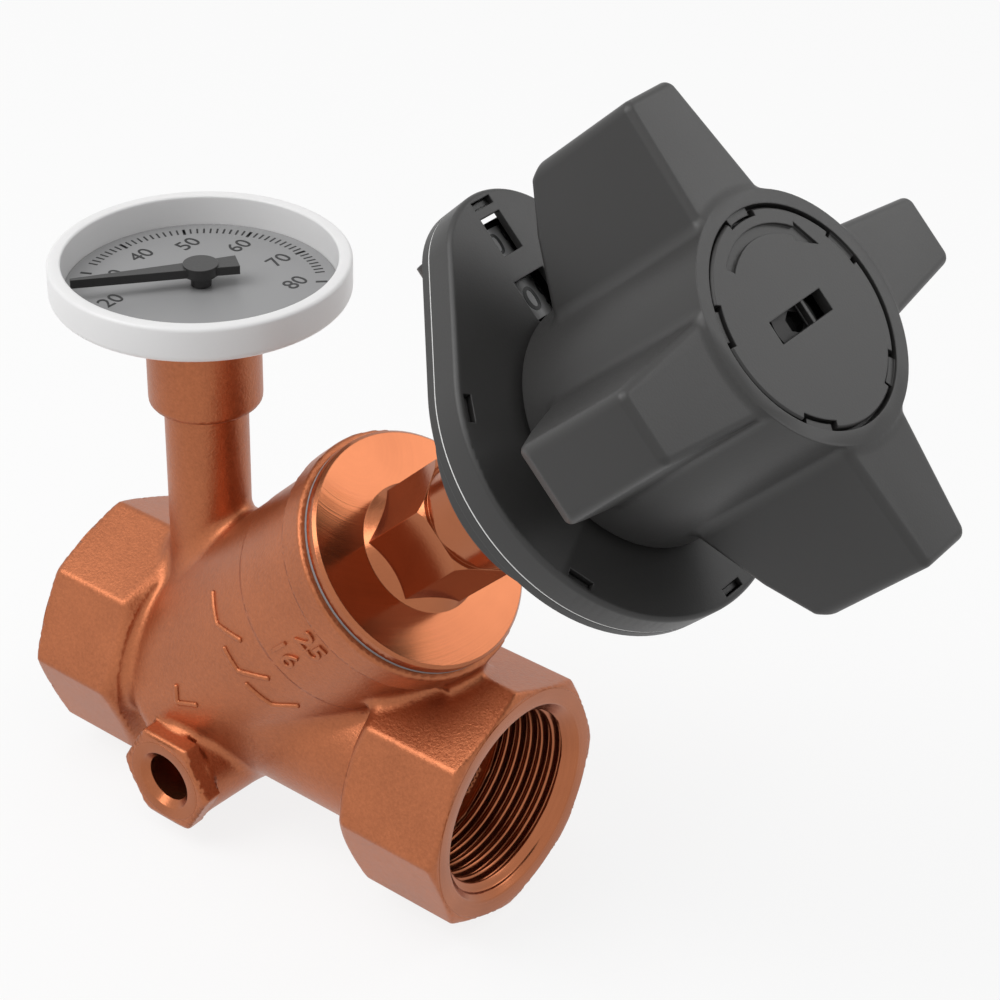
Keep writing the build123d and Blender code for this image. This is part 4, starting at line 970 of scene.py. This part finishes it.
@dataclass
class CastMarks:
    """Raised flow chevrons and sizes on the inclined barrel."""

    radius: float = 19.85
    height: float = 0.45
    width: float = 1.05
    wrap: float = 20.0
    columns: int = 16
    chevrons: tuple[tuple[tuple[float, float], ...], ...] = (
        ((27.0, 51.2), (26.8, 68.4), (31.75, 81.7)),
        ((26.45, 78.7), (26.6, 92.8), (32.1, 103.8)),
        ((26.1, 98.7), (26.7, 115.9), (31.1, 124.2)),
        ((9.4, 82.4), (6.9, 90.6), (11.45, 97.0)),
    )
    figures: tuple[tuple[str, float, float, float], ...] = (("25", 46.4, 100.0, 4.0), ("16", 39.8, 98.0, 4.0))

    def on_barrel(self, along: np.ndarray, around: np.ndarray, rise: np.ndarray) -> np.ndarray:
        """Wraps flat places onto the barrel: angle = around / wrap, distance = radius + rise.

        Args:
            along: Heights along the barrel in millimetres.
            around: Distances round the barrel, measured at the wrap radius.
            rise: Heights above the barrel.

        Returns:
            Places in metres in the frame.
        """
        angle = around / self.wrap
        reach = self.radius + rise
        return HEAD.place(np.stack([reach * np.cos(angle), reach * np.sin(angle), along], axis=-1))

    def bar(self, name: str, corners: tuple[tuple[float, float], ...]) -> bpy.types.Object:
        """Sweeps a half-ellipse section along a bent line laid on the barrel.

        The line is resampled by its length, the section is square to its direction, its width
        and height shrink to nothing over the last half width at each end.

        Args:
            name: Name of the piece.
            corners: Height along the barrel and angle in degrees of each corner.

        Returns:
            The raised bar.
        """
        knots = np.array([(along, radians(angle) * self.wrap) for along, angle in corners])
        steps = np.concatenate([[0], np.cumsum(np.linalg.norm(np.diff(knots, axis=0), axis=1))])
        ease = (1 - np.cos(np.linspace(0, pi, 9))) / 2 * self.width / 2
        travel = np.concatenate([ease[:-1], np.linspace(self.width / 2, steps[-1] - self.width / 2, 40),
                                 steps[-1] - ease[:-1][::-1]])
        line = np.stack([np.interp(travel, steps, knots[:, k]) for k in (0, 1)], axis=-1)
        soft = np.stack([np.interp(travel + shift, steps, knots[:, k]) for shift in (-0.35, 0.0, 0.35)
                         for k in (0, 1)], axis=-1).reshape(-1, 3, 2).mean(1)
        heading = np.gradient(soft, axis=0)
        heading /= np.linalg.norm(heading, axis=1)[:, None]
        edge = np.minimum(travel, steps[-1] - travel) / (self.width / 2)
        size = np.sqrt(np.clip(1 - (1 - np.clip(edge, 0, 1)) ** 2, 1e-4, 1))[:, None]
        turn = full_turn(self.columns)
        across = np.cos(turn) * self.width / 2 * size
        rise = np.where(np.sin(turn) > 0, np.sin(turn) * self.height, np.sin(turn) * 0.2) * size
        along = soft[:, :1] - heading[:, 1:] * across
        around = soft[:, 1:] + heading[:, :1] * across
        points, faces = capped_grid(self.on_barrel(along, around, rise))
        return add_piece(name, points, faces, "bronze", "body", 50.0)

    def build(self) -> None:
        """Makes the chevrons and the figures."""
        for number, corners in enumerate(self.chevrons, start=1):
            self.bar(f"flow_mark_{number}", corners)
        for number, (words, along, angle, height) in enumerate(self.figures, start=1):
            flat, faces = figure_mesh(words, height, 0.25, 0.012)
            around = radians(angle) * self.wrap + flat[:, 0]
            points = self.on_barrel(along + flat[:, 1], around, flat[:, 2] * 1.8 + 0.25)
            add_piece(f"size_figure_{number}", points, faces, "bronze", "body", 40.0)


def figure_mesh(words: str, height: float, thickness: float,
                weight: float = 0.0) -> tuple[np.ndarray, np.ndarray]:
    """Turns figures into a closed flat mesh, centred on the origin.

    Args:
        words: The figures.
        height: Height of a figure in millimetres.
        thickness: Full thickness in millimetres.
        weight: Share of the height by which the strokes are thickened.

    Returns:
        Points in millimetres and triangles.
    """
    curve = bpy.data.curves.new("figures", "FONT")
    curve.body = words
    curve.align_x = "CENTER"
    curve.align_y = "CENTER"
    curve.resolution_u = 5
    curve.offset = weight
    curve.extrude = 0.1
    holder = link_new("figures", curve)
    bpy.context.view_layer.update()
    mesh = bpy.data.meshes.new_from_object(holder.evaluated_get(bpy.context.evaluated_depsgraph_get()))
    shell = bmesh.new()
    shell.from_mesh(mesh)
    bmesh.ops.remove_doubles(shell, verts=shell.verts, dist=1e-5)
    bmesh.ops.triangulate(shell, faces=shell.faces)
    for _ in range(2):
        long_edges = [edge for edge in shell.edges if edge.calc_length() > 0.12]
        bmesh.ops.subdivide_edges(shell, edges=long_edges, cuts=1)
        bmesh.ops.triangulate(shell, faces=shell.faces)
    shell.to_mesh(mesh)
    shell.free()
    points = np.empty(len(mesh.vertices) * 3)
    mesh.vertices.foreach_get("co", points)
    faces = np.empty(len(mesh.polygons) * 3, int)
    mesh.polygons.foreach_get("vertices", faces)
    bpy.data.objects.remove(holder)
    bpy.data.curves.remove(curve)
    bpy.data.meshes.remove(mesh)
    points = points.reshape(-1, 3)
    low, high = points.min(0), points.max(0)
    points -= (low + high) / 2
    points[:, :2] *= height / (high[1] - low[1])
    points[:, 2] *= thickness / 0.2
    return points, faces.reshape(-1, 3)


@dataclass
class DrumFigures:
    """Numbers 0 to 9 round a number drum, with 0 in the window at rest."""

    name: str
    node: str
    middle: float
    radius: float = 6.0
    height: float = 3.9
    count: int = 10

    def build(self) -> bpy.types.Object:
        """Wraps each figure on the drum: angle = 180 - 36 k degrees + across / radius.

        Returns:
            The new piece.
        """
        points: list[np.ndarray] = []
        faces: list[np.ndarray] = []
        total = 0
        for number in range(self.count):
            flat, corners = figure_mesh(str(number), self.height, 0.06, 0.008)
            angle = pi - 2 * pi * number / self.count + flat[:, 0] / self.radius
            reach = self.radius + 0.02 + flat[:, 2]
            places = (reach * np.cos(angle), reach * np.sin(angle), self.middle + flat[:, 1])
            points.append(DRUMS.place(np.stack(places, axis=-1)))
            faces.append(corners + total)
            total += len(flat)
        return add_piece(self.name, np.concatenate(points), np.concatenate(faces), "ink",
                         body_of_node(self.node), 40.0)


@dataclass
class DialScale:
    """Printed temperature scale: ticks at each degree and upright figures at the tens."""

    top: float = 73.2
    angle_at_80: float = 43.3
    step: float = 3.285
    tick_outer: float = 20.5
    tick_inner: float = 18.9
    figure_radius: float = 15.2
    figure_height: float = 3.0
    film: float = 0.05
    tens: tuple[int, ...] = (20, 30, 40, 50, 60, 70, 80)
    fine_range: tuple[int, int] = (33, 78)
    fine_half: float = 0.14
    bold_half: float = 0.24
    bold_extra: float = 0.3

    def angle(self, degree: np.ndarray | float) -> np.ndarray | float:
        """Angle in radians of a temperature: 43.3 + 3.285 (80 - T) degrees."""
        return np.radians(self.angle_at_80 + (80 - np.asarray(degree, float)) * self.step)

    def ticks(self, degrees_shown: np.ndarray, half: float, inner: float, outer: float, name: str) -> None:
        """Thin bars from the inner to the outer radius: x = r cos a - w sin a, y = r sin a + w cos a.

        Args:
            degrees_shown: Temperatures that get a tick.
            half: Half the width of a tick in millimetres.
            inner: Radius of the inner ends.
            outer: Radius of the outer ends.
            name: Name of the piece.
        """
        angle = self.angle(degrees_shown)[:, None]
        reach = np.array([inner, outer, outer, inner] * 2)[None, :]
        side = np.array([-half, -half, half, half] * 2)[None, :]
        height = np.array([0.0] * 4 + [self.film] * 4)[None, :] + self.top + 0.01 + 0 * angle
        x = reach * np.cos(angle) - side * np.sin(angle)
        y = reach * np.sin(angle) + side * np.cos(angle)
        points = np.stack([x, y, height], axis=-1)
        box = np.array([[0, 3, 2, 1], [4, 5, 6, 7], [0, 1, 5, 4], [1, 2, 6, 5], [2, 3, 7, 6], [3, 0, 4, 7]])
        faces = (box[None] + 8 * np.arange(len(angle))[:, None, None]).reshape(-1, 4)
        add_piece(name, DIAL.place(points), faces, "ink", "body", 30.0)

    def build(self) -> None:
        """Makes the fine ticks, the bold ticks and the figures."""
        inner, outer = self.tick_inner, self.tick_outer
        self.ticks(np.arange(*self.fine_range), self.fine_half, inner, outer, "degree_ticks")
        self.ticks(np.array(self.tens), self.bold_half, inner - self.bold_extra, outer, "ten_ticks")
        for degree in self.tens:
            flat, faces = figure_mesh(str(degree), self.figure_height, self.film, 0.0)
            angle = float(self.angle(degree))
            x = self.figure_radius * cos(angle) - flat[:, 1]
            y = self.figure_radius * sin(angle) + flat[:, 0]
            points = np.stack([x, y, self.top + 0.04 + flat[:, 2]], axis=-1)
            add_piece(f"dial_figure_{degree}", DIAL.place(points), faces, "ink", "body", 40.0)


@dataclass
class DialCase:
    """Milky cup of the thermometer, turned about the pointer's line."""

    outer: float = 24.7
    inner: float = 22.4
    bore: float = 4.4
    foot: float = 72.2
    floor: float = 72.9
    top: float = 78.5
    foot_round: float = 1.4
    top_round: float = 0.65
    lip_round: float = 0.4
    columns: int = 192

    def build(self) -> bpy.types.Object:
        """Turns the cup's section about Z: (r cos a, r sin a, h), with its corners as arcs.

        Returns:
            The new piece.
        """
        section = np.concatenate([
            [(self.bore, self.foot)],
            arc((self.outer - self.foot_round, self.foot + self.foot_round), self.foot_round, -90, 0, 9),
            arc((self.outer - self.top_round, self.top - self.top_round), self.top_round, 0, 90, 8),
            arc((self.inner + self.lip_round, self.top - self.lip_round), self.lip_round, 90, 180, 6),
            [(self.inner, self.floor), (self.bore, self.floor)],
        ])
        angle = full_turn(self.columns)
        radius, height = section[:, :1], section[:, 1:]
        grid = (radius * np.cos(angle), radius * np.sin(angle), height)
        piece = add_ring("thermometer_cup", DIAL, grid, "white_plastic")
        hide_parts("thermometer_case")
        return piece


@dataclass
class SeamBead:
    """Pale bead in the housing's seam. The seam is real, and the bead's pale colour paints the seam edge's
    highlight as a fine light line.
    """

    big: float = 29.7
    small: float = 13.5
    tip: float = 26.1
    foot: float = 106.22
    top: float = 106.48
    inset: float = 0.9
    wide_columns: int = 180
    narrow_columns: int = 60

    def build(self) -> bpy.types.Object:
        """Lays a section along the housing's outline: centre + (radius - inset) (cos a, sin a).

        Returns:
            The new piece.
        """
        lean = np.arccos((self.big - self.small) / self.tip)
        wide = np.linspace(lean, 2 * pi - lean, self.wide_columns)
        narrow = np.linspace(-lean, lean, self.narrow_columns)
        angle = np.concatenate([wide, narrow])[None, :]
        radius = np.concatenate([np.full_like(wide, self.big), np.full_like(narrow, self.small)])[None, :]
        middle = np.concatenate([np.zeros_like(wide), np.full_like(narrow, self.tip)])[None, :]
        section = np.array([(self.inset, self.foot), (0.06, self.foot), (0.02, (self.foot + self.top) / 2),
                            (0.06, self.top), (self.inset, self.top)])
        reach = radius - section[:, :1]
        grid = (middle + reach * np.cos(angle), reach * np.sin(angle), section[:, 1:])
        # The pale finish paints the seam's edge highlight as a light line.
        return add_ring("seam_highlight_bead", HEAD, grid, "pale_seal", 50.0)


@dataclass
class Studio:
    """Pale floor, soft lamps, white surround and the camera."""

    azimuth: float = 37.69
    elevation: float = 30.415
    roll: float = 0.988
    place: tuple[float, float, float] = (268.187, -251.355, 257.275)
    focal_pixels: float = 2423.088
    centre_pixels: tuple[float, float] = (450.0, 400.0)
    frame_pixels: float = 1000.0
    sensor: float = 36.0
    dim_light: float = 0.42
    floor_half: float = 3.0
    floor_glow: float = 0.84

    @staticmethod
    def outward(azimuth: float, elevation: float) -> Vector:
        """Direction (sin a cos e, -cos a cos e, sin e) from angles in degrees."""
        a, e = radians(azimuth), radians(elevation)
        return Vector((sin(a) * cos(e), -cos(a) * cos(e), sin(e)))

    def camera(self) -> None:
        """Sets the camera: its level side is (cos a, sin a, 0), and it rolls about its line of sight."""
        a, roll = radians(self.azimuth), radians(self.roll)
        back = self.outward(self.azimuth, self.elevation)
        level = Vector((cos(a), sin(a), 0.0))
        right = level * cos(roll) + back.cross(level) * sin(roll)
        up = back.cross(right)
        lens = bpy.data.cameras.new("camera")
        lens.sensor_width = self.sensor
        lens.lens = self.focal_pixels * self.sensor / self.frame_pixels
        lens.shift_x = 0.5 - self.centre_pixels[0] / self.frame_pixels
        lens.shift_y = self.centre_pixels[1] / self.frame_pixels - 0.5
        lens.clip_start = 0.01
        lens.clip_end = 20.0
        holder = link_new("camera", lens)
        turn = Matrix((right, up, back)).transposed().to_4x4()
        holder.matrix_world = Matrix.Translation(Vector(self.place) * MM) @ turn
        bpy.context.scene.camera = holder

    @staticmethod
    def seen_white(net: Net) -> Link:
        """1 for rays from the camera, from gloss and through glass, and 0 for the others.

        Args:
            net: Net that the nodes are added to.

        Returns:
            The link of that value.
        """
        kinds = [net.node("ShaderNodeLightPath", output=name)
                 for name in ("Is Camera Ray", "Is Glossy Ray", "Is Transmission Ray")]
        both = net.node("ShaderNodeMath", {"operation": "MAXIMUM"}, {0: kinds[0], 1: kinds[1]})
        return net.node("ShaderNodeMath", {"operation": "MAXIMUM"}, {0: both, 1: kinds[2]})

    def surround(self) -> None:
        """World that is white where it is seen, and dimmer where it only lights."""
        world = bpy.data.worlds.new("studio")
        net = Net("studio", world)
        seen = self.seen_white(net)
        dim = net.node("ShaderNodeBackground", {}, {"Color": (1, 1, 1, 1), "Strength": self.dim_light})
        white = net.node("ShaderNodeBackground", {}, {"Color": (1, 1, 1, 1), "Strength": 1.0})
        mixed = net.node("ShaderNodeMixShader", {}, {0: seen, 1: dim, 2: white})
        net.node("ShaderNodeOutputWorld", {}, {"Surface": mixed})
        bpy.context.scene.world = world

    def floor(self) -> None:
        """Wide pale floor under the lowest point, which keeps part of the object's shadow."""
        low = min(corner[2] for corner in CAD_BOX)
        half = self.floor_half
        mesh = bpy.data.meshes.new("floor")
        corners = [(-half, -half, low), (half, -half, low), (half, half, low), (-half, half, low)]
        mesh.from_pydata(corners, [], [(0, 1, 2, 3)])
        net = Net("pale_floor")
        seen = self.seen_white(net) * self.floor_glow
        matt = net.node("ShaderNodeBsdfDiffuse", {}, {"Color": (0.86, 0.86, 0.86, 1)})
        glow = net.node("ShaderNodeEmission", {}, {"Color": (1, 1, 1, 1), "Strength": 1.0})
        mixed = net.node("ShaderNodeMixShader", {}, {0: seen, 1: matt, 2: glow})
        net.node("ShaderNodeOutputMaterial", {}, {"Surface": mixed})
        mesh.materials.append(net.material)
        link_new("floor", mesh)

    def lamp(self, name: str, azimuth: float, elevation: float, distance: float, size: float,
             watts: float) -> None:
        """Adds a square lamp that looks at the object.

        Args:
            name: Name of the lamp.
            azimuth: Side it stands on, in degrees from -Y towards +X.
            elevation: Height above the floor in degrees.
            distance: Distance from the object in metres.
            size: Side of the lamp in metres.
            watts: Power.
        """
        lamp = bpy.data.lights.new(name, "AREA")
        lamp.shape = "SQUARE"
        lamp.size = size
        lamp.energy = watts
        outward = self.outward(azimuth, elevation)
        target = Vector(((CAD_BOX[0][0] + CAD_BOX[1][0]) / 2, 0.0, 0.05))
        holder = link_new(name, lamp)
        turn = outward.to_track_quat("Z", "Y").to_matrix().to_4x4()
        holder.matrix_world = Matrix.Translation(target + outward * distance) @ turn
        holder.visible_camera = False

    def build(self) -> None:
        """Sets up the camera, the floor, the surround and the lamps."""
        bpy.context.scene.view_settings.view_transform = "Standard"
        self.camera()
        self.surround()
        self.floor()
        self.lamp("key_lamp", -38.0, 48.0, 1.0, 0.7, 5.2)
        self.lamp("top_lamp", 20.0, 82.0, 1.0, 0.6, 2.2)
        self.lamp("rim_lamp", 150.0, 35.0, 1.1, 0.5, 1.4)


def dress_nodes() -> None:
    """Gives every CAD node its finish."""
    for name, node in frame["nodes"].items():
        node.data.materials.clear()
        node.data.materials.append(MATERIALS[NODE_FINISH[name]])
        LOG.info("%s wears %s", name, NODE_FINISH[name])


def main() -> None:
    """Builds and dresses every piece."""
    logging.basicConfig(level=logging.INFO, format="%(message)s")
    dress_nodes()
    for node in ("bonnet", "bonnet_gasket", "indicator_base", "indicator_cover", "handwheel",
                 "handwheel_cap", "tenths_drum", "units_drum", "drive_sleeve", "dial_plate", "pointer"):
        SmoothSkin(node).build()
    inlet_face, outlet_face = (corner[0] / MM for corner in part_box("valve_body"))
    PipeThread("inlet_thread_turns", inlet_face, 1).build()
    PipeThread("outlet_thread_turns", outlet_face, -1).build()
    CastBody(inlet=inlet_face, outlet=outlet_face).build()
    DrainMouth().build()
    CastMarks().build()
    DrumFigures("tenths_figures", "tenths_drum", middle=22.45).build()
    DrumFigures("units_figures", "units_drum", middle=31.75, height=3.4).build()
    SeamBead().build()
    DialCase().build()
    DialScale().build()
    Studio().build()


if __name__ == "__main__":
    main()
